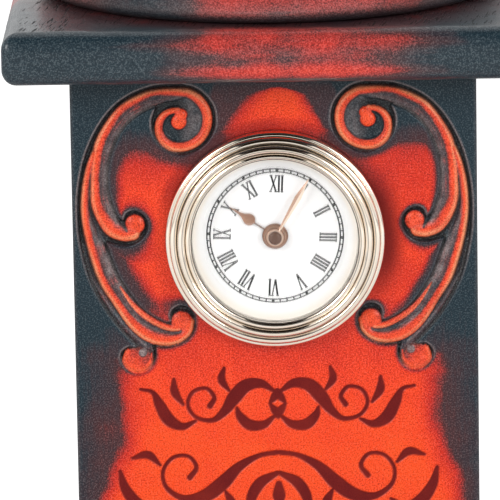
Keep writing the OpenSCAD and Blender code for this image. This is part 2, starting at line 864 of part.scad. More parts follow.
module motion_wheel() {
    color("#d8b45a") at_clock() translate([motion_pos[0], motion_pos[1], 0]) difference() {
        union() {
            translate([0, 0, motion_z]) rotate([0, 0, motion_phase]) wheel(motion_n, motion_m, wheel_t);
            translate([0, 0, motion_z + wheel_t - e]) wheel(motion_pinion_n, hour_m, layer);
        }
        translate([0, 0, motion_z - over]) cylinder(h = layer + wheel_t + 2 * over, r = post_r + run_gap);
    }
}

module intermediate_wheel() {
    color("#d8b45a") at_clock() translate([inter_pos[0], inter_pos[1], 0]) difference() {
        union() {
            translate([0, 0, centre_wheel_z - pinion_over]) rotate([0, 0, inter_phase])
                wheel(inter_pinion_n, centre_m, wheel_t + 2 * pinion_over);
            translate([0, 0, inter_wheel_z]) cylinder(h = centre_wheel_z - inter_wheel_z, r = inter_arbor_r);
            translate([0, 0, inter_wheel_z]) wheel(inter_n, rotor_m, wheel_t);
        }
        translate([0, 0, inter_wheel_z - over])
            cylinder(h = centre_wheel_z - inter_wheel_z + 3 * over, r = thin_post_r + run_gap);
    }
}

// Magnet rotor on its arbor, with its pinion
module rotor() {
    low = cup_floor + move_wall + pinion_over;
    high = inter_wheel_z + layer;
    color("#5b5f63") at_clock() translate([rotor_pos[0], rotor_pos[1], 0]) {
        translate([0, 0, low]) cylinder(h = high - low, r = rotor_arbor_r);
        translate([0, 0, stator_z - magnet_over]) cylinder(h = stator_t + 2 * magnet_over, r = magnet_r);
        translate([0, 0, inter_wheel_z - pinion_over]) rotate([0, 0, rotor_phase])
            wheel(rotor_n, rotor_m, wheel_t + 2 * pinion_over);
    }
}

// Set knob with ribs, its stem and the pinion that turns the motion wheel
module set_knob() {
    color("#1c1c1e") at_clock() translate([knob_pos[0], knob_pos[1], 0]) {
        translate([0, 0, cup_back - knob_gap]) cylinder(h = motion_z - cup_back + knob_gap + e, r = stem_r);
        translate([0, 0, cup_back - knob_gap - knob_t]) linear_extrude(knob_t)
            polygon([
                for (i = [0:2 * knob_ribs - 1]) polar(knob_d / 2 - knob_rib * (i % 2), i * 180 / knob_ribs)
            ]);
        translate([0, 0, motion_z]) rotate([0, 0, knob_phase]) wheel(knob_n, motion_m, wheel_t);
    }
}

module battery_cover() {
    slot_l = 0.6 * cover_d;
    color("#2b2b2e") at_clock() translate([cell_pos[0], cell_pos[1], cup_back]) difference() {
        cylinder(h = cup_back_t - cover_gap, d = cover_d);
        translate([-slot_l / 2, -slot_w / 2, -over]) cube([slot_l, slot_w, over + slot_depth]);
    }
}

felt_feet();
base_plate();
base_screws();
front_panel();
left_panel();
right_panel();
back_panel();
corner_strips();
cornice_dowels();
cornice_plate();
disc_screws();
round_disc();
crown_disc();
dome();
top_dowel();
finial();
insert_cup();
grip_ring();
bezel();
lens();
reflector_ring();
dial();
movement_front();
movement_back();
movement_screws();
stator();
coil();
circuit_board();
chip();
quartz_crystal();
button_cell();
cell_contacts();
centre_wheel();
minute_hand();
hand_cap();
hour_wheel();
hour_hand();
motion_wheel();
intermediate_wheel();
rotor();
set_knob();
battery_cover();
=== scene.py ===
import math

import bmesh
import bpy
import numpy as np
from bpy.props import FloatProperty, FloatVectorProperty, IntProperty, PointerProperty
from mathutils import Matrix, Vector


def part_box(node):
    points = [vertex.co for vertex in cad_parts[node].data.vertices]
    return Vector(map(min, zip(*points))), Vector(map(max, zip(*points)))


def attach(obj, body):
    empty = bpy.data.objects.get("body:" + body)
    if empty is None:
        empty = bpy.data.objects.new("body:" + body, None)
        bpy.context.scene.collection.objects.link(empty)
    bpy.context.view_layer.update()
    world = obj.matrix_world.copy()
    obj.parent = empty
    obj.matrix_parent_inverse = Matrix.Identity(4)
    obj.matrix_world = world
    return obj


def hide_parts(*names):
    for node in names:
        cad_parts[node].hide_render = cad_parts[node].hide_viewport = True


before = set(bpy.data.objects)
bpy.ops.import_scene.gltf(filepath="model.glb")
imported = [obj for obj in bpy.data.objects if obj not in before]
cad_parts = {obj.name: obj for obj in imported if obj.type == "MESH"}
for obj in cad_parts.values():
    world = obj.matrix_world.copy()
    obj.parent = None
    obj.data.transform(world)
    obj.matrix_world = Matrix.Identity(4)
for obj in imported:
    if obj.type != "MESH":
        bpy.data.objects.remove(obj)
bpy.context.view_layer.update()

bl_info = {
    "name": "Carved wooden clock",
    "version": (1, 0, 0),
    "blender": (4, 5, 0),
    "location": "View3D > Sidebar > Clock",
    "description": "Builds the finish of a carved wooden clock round its construction model",
    "category": "Add Mesh",
}

MM = 0.001


# Measures taken from the frame, in millimetres

def box_mm(node):
    """Lowest and highest corner of a node, in millimetres."""
    low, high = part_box(node)
    return np.array(low) / MM, np.array(high) / MM


BOARD_LOW, BOARD_HIGH = box_mm("front_panel")
BEZEL_LOW, BEZEL_HIGH = box_mm("bezel")
GRIP_LOW, GRIP_HIGH = box_mm("grip_ring")
LENS_LOW, LENS_HIGH = box_mm("lens")
FACE_Y = BOARD_LOW[1]
HALF_W = BOARD_HIGH[0]
CLOCK_Z = (BEZEL_LOW[2] + BEZEL_HIGH[2]) / 2
# The carving's middle lies a little below the clock's centre
CARVING_DOWN = 0.3
CARVING_Z = CLOCK_Z - CARVING_DOWN
# Rounding of the front board's upright edges
EDGE_R = 1.2
# Play between the insert's grip ring and its hole
GRIP_GAP = 0.08
BORE_R = (GRIP_HIGH[0] - GRIP_LOW[0]) / 2 + GRIP_GAP
AT_CLOCK = Matrix.Translation((0, FACE_Y * MM, CLOCK_Z * MM)) @ Matrix.Rotation(math.pi / 2, 4, "X")


def srgb(red, green, blue):
    """Colour as Blender stores it, from the usual numbers of 0 to 255."""
    def linear(c):
        c = c / 255
        return c / 12.92 if c <= 0.04045 else ((c + 0.055) / 1.055) ** 2.4

    return (linear(red), linear(green), linear(blue), 1.0)


# Settings that a user would change

class ClockWoodSettings(bpy.types.PropertyGroup):
    """Stain and lacquer of the wood."""
    slate: FloatVectorProperty(
        name="Slate", description="Dark blue stain at the edges", subtype="COLOR", size=4,
        default=srgb(4, 36, 48))
    umber: FloatVectorProperty(
        name="Umber", description="Brown where the two stains meet", subtype="COLOR", size=4,
        default=srgb(74, 30, 32))
    ruby: FloatVectorProperty(
        name="Ruby", description="Deep red stain", subtype="COLOR", size=4, default=srgb(204, 30, 0))
    flame: FloatVectorProperty(
        name="Flame", description="Orange red stain", subtype="COLOR", size=4, default=srgb(244, 60, 0))
    glow: FloatVectorProperty(
        name="Glow", description="Bright orange stain in the middle", subtype="COLOR", size=4,
        default=srgb(255, 76, 0))
    # Colour of the painted highlight on the ridges' outer flanks
    highlight_peach: FloatVectorProperty(
        name="Peach", description="Pale orange where the ridges are rubbed bright", subtype="COLOR",
        size=4, default=srgb(255, 160, 112))
    # Dark glaze, and the colour of painted shade in the grooves, under the plates and at the foot of
    # turned pieces
    soot: FloatVectorProperty(
        name="Soot", description="Dark glaze that stays in the grooves", subtype="COLOR", size=4,
        default=srgb(12, 10, 13))
    # Grey of rubbed wear, and of painted highlights on the carving's rim, the boards' edges, the plates
    # and the turned rims
    worn: FloatVectorProperty(
        name="Worn", description="Grey of edges that are rubbed thin", subtype="COLOR", size=4,
        default=srgb(158, 140, 138))
    # Also the dark red of the painted shade round the clock
    burnt: FloatVectorProperty(
        name="Burnt", description="Dark red of the engraved strokes", subtype="COLOR", size=4,
        default=srgb(98, 0, 0))
    roughness: FloatProperty(
        name="Roughness", description="Roughness of the lacquer", subtype="FACTOR", default=0.42,
        min=0.1, max=1.0)


class ClockCarvingSettings(bpy.types.PropertyGroup):
    """Sizes of the carving in the front board, in millimetres."""
    floor_depth: FloatProperty(
        name="Floor depth", description="Depth of the sunk ground round the ridges", default=2.0,
        min=0.5, max=4.0)
    wall_width: FloatProperty(
        name="Wall width", description="Width of the slope at the outline", default=0.55,
        min=0.2, max=2.0)
    stroke_depth: FloatProperty(
        name="Stroke depth", description="Depth of the engraved strokes", default=0.4, min=0.1, max=1.0)
    spacing: FloatProperty(
        name="Mesh spacing", description="Distance between the points of the carved mesh", default=0.32,
        min=0.3, max=2.0)


class ClockInsertSettings(bpy.types.PropertyGroup):
    """Finish of the push-in clock."""
    gold: FloatVectorProperty(
        name="Gold", description="Colour of the plated bezel", subtype="COLOR", size=4,
        default=srgb(255, 246, 234))
    white: FloatVectorProperty(
        name="Dial white", description="Colour of the dial", subtype="COLOR", size=4,
        default=srgb(255, 255, 255))
    ink: FloatVectorProperty(
        name="Ink", description="Colour of the printing on the dial", subtype="COLOR", size=4,
        default=srgb(16, 22, 22))
    turns: IntProperty(
        name="Segments", description="Segments of the turned rings", default=192, min=24, max=512)
    dial_turn: FloatProperty(
        name="Print angle", description="Angle by which the print sits turned clockwise",
        subtype="ANGLE", default=math.radians(2.5), min=-0.2, max=0.2)


class ClockStageSettings(bpy.types.PropertyGroup):
    """Camera and lamps."""
    distance: FloatProperty(
        name="Distance", description="Distance of the camera from what it looks at", unit="LENGTH",
        default=1.732, min=0.3, max=10.0)
    focal: FloatProperty(
        name="Focal length", description="Focal length for a sensor 36 mm wide, in millimetres",
        default=420.7, min=20.0, max=1000.0)
    pitch: FloatProperty(
        name="Pitch", description="Angle by which the camera looks down", subtype="ANGLE",
        default=math.radians(12.634), min=-1.5, max=1.5)
    yaw: FloatProperty(
        name="Yaw", description="Angle by which the camera looks to the side", subtype="ANGLE",
        default=math.radians(0.463), min=-1.5, max=1.5)
    roll: FloatProperty(
        name="Roll", description="Angle by which the camera is tilted", subtype="ANGLE",
        default=math.radians(0.947), min=-1.5, max=1.5)
    key_power: FloatProperty(
        name="Key lamp", description="Power of the large lamp in front", unit="POWER", default=9.6,
        min=0.0, max=200.0)
    fill_power: FloatProperty(
        name="Fill lamp", description="Power of the lamp on the other side", unit="POWER", default=8.6,
        min=0.0, max=200.0)
    sky: FloatProperty(
        name="Sky", description="Strength of the even light from all round", default=0.55,
        min=0.0, max=2.0)


# Node trees

class Wire:
    """A socket that takes part in sums: each operator adds one Math node to its tree."""

    def __init__(self, graph, socket):
        self.graph = graph
        self.socket = socket

    def math(self, operation, *values):
        return self.graph.add("ShaderNodeMath", {"operation": operation}, dict(enumerate(values)))

    def __add__(self, other):
        return self.math("ADD", self, other)

    def __radd__(self, other):
        return self.math("ADD", other, self)

    def __sub__(self, other):
        return self.math("SUBTRACT", self, other)

    def __rsub__(self, other):
        return self.math("SUBTRACT", other, self)

    def __mul__(self, other):
        return self.math("MULTIPLY", self, other)

    def __rmul__(self, other):
        return self.math("MULTIPLY", other, self)

    def __truediv__(self, other):
        return self.math("DIVIDE", self, other)

    def __mod__(self, other):
        return self.math("FLOORED_MODULO", self, other)

    def clamped(self, low=0.0, high=1.0):
        return self.math("MINIMUM", self.math("MAXIMUM", self, low), high)

    def out(self, name):
        """Another output of the same node."""
        return Wire(self.graph, self.socket.node.outputs[name])


class Graph:
    """A node tree with one way to add a node: its settings first, then its sockets."""

    def __init__(self, tree):
        self.tree = tree

    def add(self, kind, settings=(), sockets=(), out=0):
        node = self.tree.nodes.new(kind)
        for name, value in dict(settings).items():
            if name == "stops":
                self.fill_ramp(node.color_ramp, value)
            else:
                setattr(node, name, value)
        for key, value in dict(sockets).items():
            if isinstance(value, Wire):
                self.tree.links.new(value.socket, node.inputs[key])
            else:
                node.inputs[key].default_value = value
        return Wire(self, node.outputs[out] if len(node.outputs) else None)

    @staticmethod
    def fill_ramp(ramp, stops):
        while len(ramp.elements) < len(stops):
            ramp.elements.new(1.0)
        for element, (position, colour) in zip(ramp.elements, stops):
            element.position = position
            element.color = colour

    def mix(self, factor, low, high):
        """Colour between low and high."""
        return self.add("ShaderNodeMix", {"data_type": "RGBA"}, {0: factor, 6: low, 7: high}, out=2)

    def attribute(self, name):
        return self.add("ShaderNodeAttribute", {"attribute_name": name}, out="Fac")

    def place(self, scale=(1, 1, 1), turn=(0, 0, 0)):
        """Object coordinates, scaled and turned."""
        where = self.add("ShaderNodeTexCoord", out="Object")
        return self.add(
            "ShaderNodeMapping", sockets={"Vector": where, "Scale": scale, "Rotation": turn})

    def noise(self, where, scale, detail, roughness):
        return self.add(
            "ShaderNodeTexNoise", sockets={
                "Vector": where, "Scale": scale, "Detail": detail, "Roughness": roughness})

    def smooth(self, value, low, high):
        """0 below low, 1 above high, and a soft step between."""
        return self.add(
            "ShaderNodeMapRange", {"interpolation_type": "SMOOTHSTEP"},
            {"Value": value, "From Min": low, "From Max": high})

    def bump(self, height, distance, strength):
        return self.add("ShaderNodeBump", sockets={
            "Height": height, "Distance": distance, "Strength": strength})


def new_material(name):
    """Empty material and its graph."""
    material = bpy.data.materials.new(name)
    material.use_nodes = True
    material.node_tree.nodes.clear()
    return material, Graph(material.node_tree)


def finish_material(graph, **sockets):
    """Ends a material in a shader with these sockets; an underscore stands for a space."""
    shader = graph.add(
        "ShaderNodeBsdfPrincipled", sockets={k.replace("_", " "): v for k, v in sockets.items()})
    graph.add("ShaderNodeOutputMaterial", sockets={"Surface": shader})


# Materials

def stained_wood(name, settings, grain_scale, coat):
    """Slate to orange stain that reads the paint values kept for each point, among them painted shade
    and highlights.
    """
    material, g = new_material(name)
    where = g.place()
    speckle = g.noise(where, 2300.0, 3.0, 0.75) - 0.5
    cloud = g.noise(where, 75.0, 4.0, 0.6) - 0.5
    streak = g.noise(g.place(grain_scale), 1.0, 4.0, 0.65) - 0.5
    fleck = g.noise(where, 2300.0, 1.0, 0.5) - 0.5
    lean = g.add(
        "ShaderNodeMapping", sockets={"Vector": g.place(turn=(0, 0, 0.15)), "Scale": (1700, 130, 1700)})
    slits = g.smooth(g.noise(lean, 1.0, 1.0, 0.5), 0.56, 0.64) * g.smooth(cloud, -0.06, 0.04)
    slits = slits * g.attribute("slits")
    warmth = g.attribute("warmth")
    spots = (speckle * 0.6 + fleck * 0.12) * (warmth * 2.0).clamped()
    mottled = warmth + spots + cloud * 0.3 + streak * 0.14
    stain = g.add("ShaderNodeValToRGB", {"stops": [
        (0.06, tuple(settings.slate)), (0.26, tuple(settings.umber)), (0.48, tuple(settings.ruby)),
        (0.76, tuple(settings.flame)), (0.98, tuple(settings.glow))]}, {"Fac": mottled.clamped()})
    # Soot colour: dark glaze and painted shade in grooves, and painted shade under plates and at the
    # foot of turned pieces
    soot = (g.attribute("soot") * (1 + speckle * 0.7)).clamped()
    base = g.mix(soot, stain, tuple(settings.soot))
    # Grey of rubbed wear and of painted highlights
    base = g.mix((g.attribute("worn") * (1 + speckle * 1.6)).clamped(), base, tuple(settings.worn))
    # Pale orange painted highlight
    base = g.mix((g.attribute("sheen") * (1 + speckle)).clamped(), base, tuple(settings.highlight_peach))
    pits = (0.1 - speckle * 0.9 - fleck * 0.9 + slits * 0.8).clamped(0.0, 0.85)
    base = g.mix(pits, base, srgb(12, 6, 8))
    dust = (speckle + fleck) * (0.66 - warmth * 0.4)
    base = g.mix(dust.clamped(0.0, 0.16), base, srgb(136, 149, 152))
    # Dark red of the engraved strokes and of the painted shade round the clock
    burnt = (g.attribute("burnt") * (0.97 + speckle * 0.4 + cloud * 0.3)).clamped()
    base = g.mix(burnt, base, tuple(settings.burnt))
    pores = g.smooth(streak, 0.1, 0.24)
    relief = speckle * 0.55 + streak * 0.5 - pores * 0.5 - slits * 2.5
    lacquer = (1 - burnt) * (1 - slits) * (1 + fleck * 2.6 + streak * 1.2) * coat
    roughness = settings.roughness + cloud * 0.2 + speckle * 0.3 + burnt * 0.2 + slits * 0.3
    finish_material(
        g, Base_Color=base, Roughness=roughness.clamped(0.15, 0.9), Specular_IOR_Level=0.25,
        Coat_Weight=lacquer.clamped(), Coat_Roughness=0.26, Normal=g.bump(relief, 0.00012, 0.8))
    return material


def plain_wood(name):
    """Unstained pine, for what is inside the case."""
    material, g = new_material(name)
    ring = g.noise(g.place((260, 260, 9)), 1.0, 5.0, 0.6)
    fibre = g.noise(g.place((1400, 1400, 40)), 1.0, 3.0, 0.6)
    colour = g.add("ShaderNodeValToRGB", {"stops": [
        (0.3, srgb(222, 190, 140)), (0.6, srgb(198, 158, 104)), (0.75, srgb(168, 122, 74))]},
        {"Fac": ring})
    finish_material(
        g, Base_Color=g.mix(fibre * 0.3, colour, srgb(150, 108, 66)), Roughness=0.6 + fibre * 0.2,
        Normal=g.bump(fibre + ring * 0.5, 0.0001, 0.6))
    return material


def felt(name):
    """Pressed wool of the feet."""
    material, g = new_material(name)
    fuzz = g.noise(g.place(), 2200.0, 5.0, 0.8)
    finish_material(
        g, Base_Color=g.mix(fuzz, srgb(38, 37, 36), srgb(84, 82, 78)), Roughness=0.95,
        Sheen_Weight=0.5, Normal=g.bump(fuzz, 0.0004, 0.9))
    return material


def brushed_metal(name, light, dark, roughness):
    """Metal with fine upright marks."""
    material, g = new_material(name)
    marks = g.noise(g.place((900, 900, 60)), 1.0, 4.0, 0.6)
    smudge = g.noise(g.place(), 120.0, 3.0, 0.6)
    finish_material(
        g, Base_Color=g.mix(marks * 0.6 + smudge * 0.4, dark, light), Metallic=1.0,
        Roughness=(roughness + (marks - 0.5) * 0.12 + (smudge - 0.5) * 0.1).clamped(0.02, 1.0),
        Normal=g.bump(marks, 0.00003, 0.4))
    return material


def polished_gold(name, settings):
    """Mirror-bright champagne plating, painted dull and dark in the grooves between its ribs as shade,
    and along thin lines as reflections.
    """
    material, g = new_material(name)
    smudge = g.noise(g.place(), 180.0, 4.0, 0.6)
    wave = g.noise(g.place(), 420.0, 2.0, 0.5)
    groove = g.attribute("groove")
    base = g.mix((smudge * 1.4 - 0.3).clamped(), tuple(settings.gold), srgb(248, 228, 204))
    # Painted shade and reflection lines from the groove values
    base = g.mix(groove, base, srgb(26, 15, 10))
    finish_material(
        g, Base_Color=base, Metallic=1.0, Roughness=(0.05 + smudge * 0.06 + groove * 0.3).clamped(),
        Normal=g.bump(wave, 0.00003, 0.2))
    return material


def moulded(name, light, dark, roughness, grain=2600.0, depth=0.00004):
    """Moulded plastic or rubber with a fine matt texture."""
    material, g = new_material(name)
    fine = g.noise(g.place(), grain, 3.0, 0.6)
    broad = g.noise(g.place(), 90.0, 3.0, 0.5)
    finish_material(
        g, Base_Color=g.mix(fine * 0.5 + broad * 0.5, dark, light),
        Roughness=(roughness + (broad - 0.5) * 0.15).clamped(), Normal=g.bump(fine, depth, 0.6))
    return material


def reflector_enamel(name):
    """Enamel of the sloping ring, white towards the dial, with painted cream shade at the rim next to
    the bezel.
    """
    material, g = new_material(name)
    where = g.add("ShaderNodeTexCoord", out="Object")
    apart = g.add(
        "ShaderNodeVectorMath", {"operation": "SUBTRACT"}, {0: where, 1: (0, 0, CLOCK_Z * MM)})
    across = g.add("ShaderNodeVectorMath", {"operation": "MULTIPLY"}, {0: apart, 1: (1, 0, 1)})
    radius = g.add("ShaderNodeVectorMath", {"operation": "LENGTH"}, {0: across}, out="Value")
    rim = g.smooth(radius, 22.2 * MM, 24.2 * MM)
    fine = g.noise(where, 1500.0, 2.0, 0.5)
    finish_material(
        g, Base_Color=g.mix(rim, srgb(255, 254, 252), srgb(252, 244, 232)), Roughness=0.3 + fine * 0.1,
        Normal=g.bump(fine, 0.00002, 0.4))
    return material


def stamped_bronze(name):
    """Stamped hands: brown bronze, painted pale on the half of a blade that faces the light and on lit
    hub rings, and painted darker where the paleness is below zero.
    """
    material, g = new_material(name)
    marks = g.noise(g.place((500, 60, 500)), 1.0, 4.0, 0.6)
    base = g.mix(marks, srgb(150, 112, 94), srgb(204, 160, 134))
    base = g.mix(g.attribute("pale").clamped(), base, srgb(250, 232, 214))
    base = g.mix((g.attribute("pale") * -1).clamped(), base, srgb(70, 46, 38))
    finish_material(
        g, Base_Color=base, Metallic=0.55, Roughness=0.3 + marks * 0.12,
        Normal=g.bump(marks, 0.00003, 0.4))
    return material


def clear_lens(name):
    """Thin clear lens, mostly see-through so that lamps still light the dial."""
    material, g = new_material(name)
    finish_material(
        g, Base_Color=srgb(255, 255, 255), Roughness=0.02, IOR=1.45, Transmission_Weight=1.0,
        Alpha=0.14)
    return material


def wound_wire(name):
    """Enamelled copper winding, its turns across the X axis."""
    material, g = new_material(name)
    turns = g.add(
        "ShaderNodeTexWave", {"bands_direction": "X", "wave_profile": "SIN"},
        {"Vector": g.place(), "Scale": 1400.0, "Distortion": 0.6})
    finish_material(
        g, Base_Color=g.mix(turns, srgb(120, 48, 18), srgb(206, 116, 62)), Metallic=0.8, Roughness=0.35,
        Normal=g.bump(turns, 0.0001, 0.8))
    return material


# Meshes

def make_mesh(name, points, faces):
    """Mesh from points in millimetres and rows of point numbers."""
    if isinstance(faces, np.ndarray):
        faces = faces.tolist()
    mesh = bpy.data.meshes.new(name)
    mesh.from_pydata((np.asarray(points, float) * MM).tolist(), [], faces)
    mesh.update()
    return mesh


def points_of(mesh):
    """Points of a mesh, in millimetres."""
    flat = np.empty(len(mesh.vertices) * 3)
    mesh.vertices.foreach_get("co", flat)
    return flat.reshape(-1, 3) / MM


def store(mesh, **values):
    """Keeps a number for each point under each name."""
    for name, numbers in values.items():
        attribute = mesh.attributes.new(name, "FLOAT", "POINT")
        row = np.broadcast_to(numbers, len(mesh.vertices)).astype(np.float32)
        attribute.data.foreach_set("value", row)


def outward(mesh):
    """Turns the faces of a closed mesh outwards."""
    bm = bmesh.new()
    bm.from_mesh(mesh)
    bmesh.ops.recalc_face_normals(bm, faces=bm.faces)
    bm.to_mesh(mesh)
    bm.free()
    return mesh


def smooth_faces(mesh, angle=35.0):
    """Smooth shading with an edge wherever faces meet at more than the angle."""
    mesh.shade_smooth()
    mesh.set_sharp_from_angle(angle=math.radians(angle))
    return mesh


def add_piece(mesh, material, body, slot, *nodes):
    """Object for a finished mesh, riding on its body and standing for these nodes."""
    piece = bpy.data.objects.new(mesh.name, mesh)
    bpy.context.scene.collection.objects.link(piece)
    mesh.materials.clear()
    mesh.materials.append(material)
    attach(piece, body)
    if nodes:
        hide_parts(*nodes)


def dress(material, *nodes):
    """Gives a material to nodes that keep their own mesh."""
    for name in nodes:
        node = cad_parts[name]
        if not node.material_slots:
            node.data.materials.append(material)
        for slot in node.material_slots:
            slot.material = material


def joined(name, meshes):
    """One mesh from several."""
    bm = bmesh.new()
    for mesh in meshes:
        bm.from_mesh(mesh)
    result = bpy.data.meshes.new(name)
    bm.to_mesh(result)
    bm.free()
    return result


def prism(outline, low, high):
    """Closed prism of a flat outline, as points and faces."""
    n = len(outline)
    points = [(x, y, low) for x, y in outline] + [(x, y, high) for x, y in outline]
    faces = [tuple(range(n))[::-1], tuple(range(n, 2 * n))]
    faces += [(i, (i + 1) % n, n + (i + 1) % n, n + i) for i in range(n)]
    return points, faces


def gather(name, solids):
    """One mesh from several sets of points and faces."""
    points, faces = [], []
    for more_points, more_faces in solids:
        faces += [tuple(i + len(points) for i in face) for face in more_faces]
        points += list(more_points)
    return make_mesh(name, points, faces)


# Geometry Nodes

def new_geometry_tree(name, sockets):
    """Geometry tree with these named inputs, and its graph."""
    tree = bpy.data.node_groups.new(name, "GeometryNodeTree")
    tree.interface.new_socket("Geometry", in_out="INPUT", socket_type="NodeSocketGeometry")
    for label, kind in sockets:
        tree.interface.new_socket(label, in_out="INPUT", socket_type=kind)
    tree.interface.new_socket("Geometry", in_out="OUTPUT", socket_type="NodeSocketGeometry")
    return tree, Graph(tree)


def lathe_tree():
    """Turns a profile, with its radius on X and its height on Z, round the Z axis."""
    tree, g = new_geometry_tree("Lathe", [
        ("Segments", "NodeSocketInt"), ("Material", "NodeSocketMaterial")])
    start = g.add("NodeGroupInput", out="Geometry")
    segments = start.out("Segments")
    count = g.add("GeometryNodeAttributeDomainSize", {"component": "MESH"}, {"Geometry": start})
    sheet = g.add(
        "GeometryNodeMeshGrid", sockets={"Vertices X": count, "Vertices Y": segments + 1.0})
    index = g.add("GeometryNodeInputIndex")
    share = index / (segments + 1.0)
    row = share.math("FLOOR", share)
    step = index % (segments + 1.0)
    position = g.add("GeometryNodeInputPosition")
    profile = g.add(
        "GeometryNodeSampleIndex", {"data_type": "FLOAT_VECTOR", "domain": "POINT"},
        {"Geometry": start, "Value": position, "Index": row})
    radius = g.add("ShaderNodeSeparateXYZ", sockets={0: profile}, out="X")
    angle = step * (2 * math.pi) / segments
    place = g.add("ShaderNodeCombineXYZ", sockets={
        "X": radius * angle.math("COSINE", angle), "Y": radius * angle.math("SINE", angle),
        "Z": radius.out("Z")})
    turned = g.add("GeometryNodeSetPosition", sockets={"Geometry": sheet, "Position": place})
    closed = g.add("GeometryNodeMergeByDistance", sockets={"Geometry": turned, "Distance": 0.001 * MM})
    real = g.add("GeometryNodeRealizeInstances", sockets={"Geometry": closed})
    done = g.add("GeometryNodeSetMaterial", sockets={
        "Geometry": real, "Material": start.out("Material")})
    g.add("NodeGroupOutput", sockets={"Geometry": done})
    return tree


def copies_tree():
    """Puts a copy of an object on every point, each turned a step further round Z."""
    tree, g = new_geometry_tree("Copies", [
        ("Copy", "NodeSocketObject"), ("Turn", "NodeSocketFloat"), ("Material", "NodeSocketMaterial")])
    start = g.add("NodeGroupInput", out="Geometry")
    shape = g.add("GeometryNodeObjectInfo", sockets={"Object": start.out("Copy")}, out="Geometry")
    turn = g.add("GeometryNodeInputIndex") * start.out("Turn")
    spin = g.add("ShaderNodeCombineXYZ", sockets={"Z": turn})
    copies = g.add("GeometryNodeInstanceOnPoints", sockets={
        "Points": start, "Instance": shape, "Rotation": spin})
    real = g.add("GeometryNodeRealizeInstances", sockets={"Geometry": copies})
    done = g.add("GeometryNodeSetMaterial", sockets={
        "Geometry": real, "Material": start.out("Material")})
    g.add("NodeGroupOutput", sockets={"Geometry": done})
    return tree


def grown(name, seed_mesh, tree, **inputs):
    """Mesh that a geometry tree makes from a seed mesh, with the inputs set by identifier."""
    seed = bpy.data.objects.new(name, seed_mesh)
    bpy.context.scene.collection.objects.link(seed)
    modifier = seed.modifiers.new("Grow", "NODES")
    modifier.node_group = tree
    for item in tree.interface.items_tree:
        if item.item_type == "SOCKET" and item.in_out == "INPUT" and item.name in inputs:
            modifier[item.identifier] = inputs[item.name]
    graph = bpy.context.evaluated_depsgraph_get()
    mesh = bpy.data.meshes.new_from_object(seed.evaluated_get(graph))
    seed.modifiers.remove(modifier)
    bpy.data.objects.remove(seed)
    mesh.name = name
    return mesh


def turned(name, profile, segments, material, closed_ring=False, angle=35.0):
    """Turned body from points (radius, height); a ring repeats its first point at the end."""
    points = list(profile) + ([profile[0]] if closed_ring else [])
    seed = make_mesh(name, [(r, 0, z) for r, z in points], [])
    mesh = grown(name, seed, TREES["lathe"], Segments=segments, Material=material)
    return smooth_faces(outward(mesh), angle)


def copied(name, copy_mesh, places, turn, material):
    """Copies of a mesh at places, each turned a step further."""
    copy = bpy.data.objects.new(name + ".copy", copy_mesh)
    bpy.context.scene.collection.objects.link(copy)
    seed = make_mesh(name, places, [])
    mesh = grown(name, seed, TREES["copies"], Copy=copy, Turn=turn, Material=material)
    bpy.data.objects.remove(copy)
    return mesh


# Filled by the step that mixes the finishes
TREES = {}
MATERIALS = {}


# Carving: distances and heights over the board, in millimetres from the carving's middle

FAR = 1000.0
# Rounding where a ridge or a knob rises from the ground
ROOT = 0.12
# Depth of the small curl's own face
CURL_FACE = 0.75
# Outline of the sunk ground of the left scroll, in smooth stretches that meet at cusps
OUTLINE = [
    [(-27, 47.1), (-35.9, 46.5), (-44.5, 42.7), (-50.8, 36.2), (-55.6, 26.8), (-58, 16.9), (-58.6, 8),
     (-57.9, -1.3), (-54.9, -13.2), (-49.1, -24), (-41.9, -32.6)],
    [(-41.9, -32.6), (-44.3, -32.4), (-46.3, -34), (-46.7, -36.4), (-44.9, -39.6), (-41.4, -41),
     (-37.8, -39.7), (-35.8, -36.4), (-35.8, -32.9)],
    [(-35.8, -32.9), (-32.8, -33.1), (-29.4, -32.4), (-26.4, -30.8), (-24.4, -28.4), (-23.8, -25.6),
     (-24.5, -22.4), (-26.3, -20.5), (-28.6, -20), (-30.6, -20.9), (-31.6, -22.8), (-31.3, -25)],
    [(-31.3, -25), (-33.7, -24.8), (-39.6, -20.8), (-45.3, -12.7), (-48.2, -5.7), (-49.8, -0.7)],
    [(-49.8, -0.7), (-47.2, -1.5), (-44.2, -2), (-41.2, -1.2), (-38.8, 0.8), (-37.4, 3.6), (-37.8, 6.3),
     (-39.6, 8.3), (-41.9, 9.1), (-44, 8.3), (-45.1, 5.9)],
    [(-45.1, 5.9), (-47, 8.8), (-48.8, 15.5), (-48.4, 23.4), (-45, 32.2), (-40, 37.3), (-35, 39.7)],
    [(-35, 39.7), (-36.1, 36), (-35.7, 32), (-33.6, 28.4), (-30.2, 26.1), (-26.4, 25.5), (-22.4, 26.8),
     (-19, 29.8), (-17, 34.2), (-17.2, 39.2), (-19.4, 43.1), (-22.9, 45.9), (-27, 47.1)],
]
EYE = (-27.8, 36.0)
# Ridge lines: x, y, widths of the outer and the inner side, depth of the crest, painted width
STEM = [
    (-30.2, 44.5, 1.4, 4.6, 0.45, 0.7), (-34.4, 44.3, 1.4, 6.4, 0.4, 0.55),
    (-38, 43.3, 1.4, 7.4, 0.35, 0.6), (-44.5, 39.8, 1.5, 7.2, 0.3, 0.8),
    (-49.2, 33.8, 1.6, 6.6, 0.2, 0.95), (-51.8, 28.3, 1.8, 6.2, 0.2, 1.05),
    (-52.8, 22.5, 1.7, 6.2, 0.2, 0.95), (-53.1, 16.5, 1.7, 6.4, 0.2, 0.95),
    (-52.9, 11.5, 2.0, 6.8, 0.2, 1.1), (-51.4, 7.2, 2.2, 6.4, 0.25, 1.4),
    (-48.6, 3.2, 2.5, 4.6, 0.3, 1.75), (-45.1, 1.6, 2.6, 3.2, 0.35, 2.0),
    (-42.3, 1.9, 2.8, 2.4, 0.35, 2.1),
]
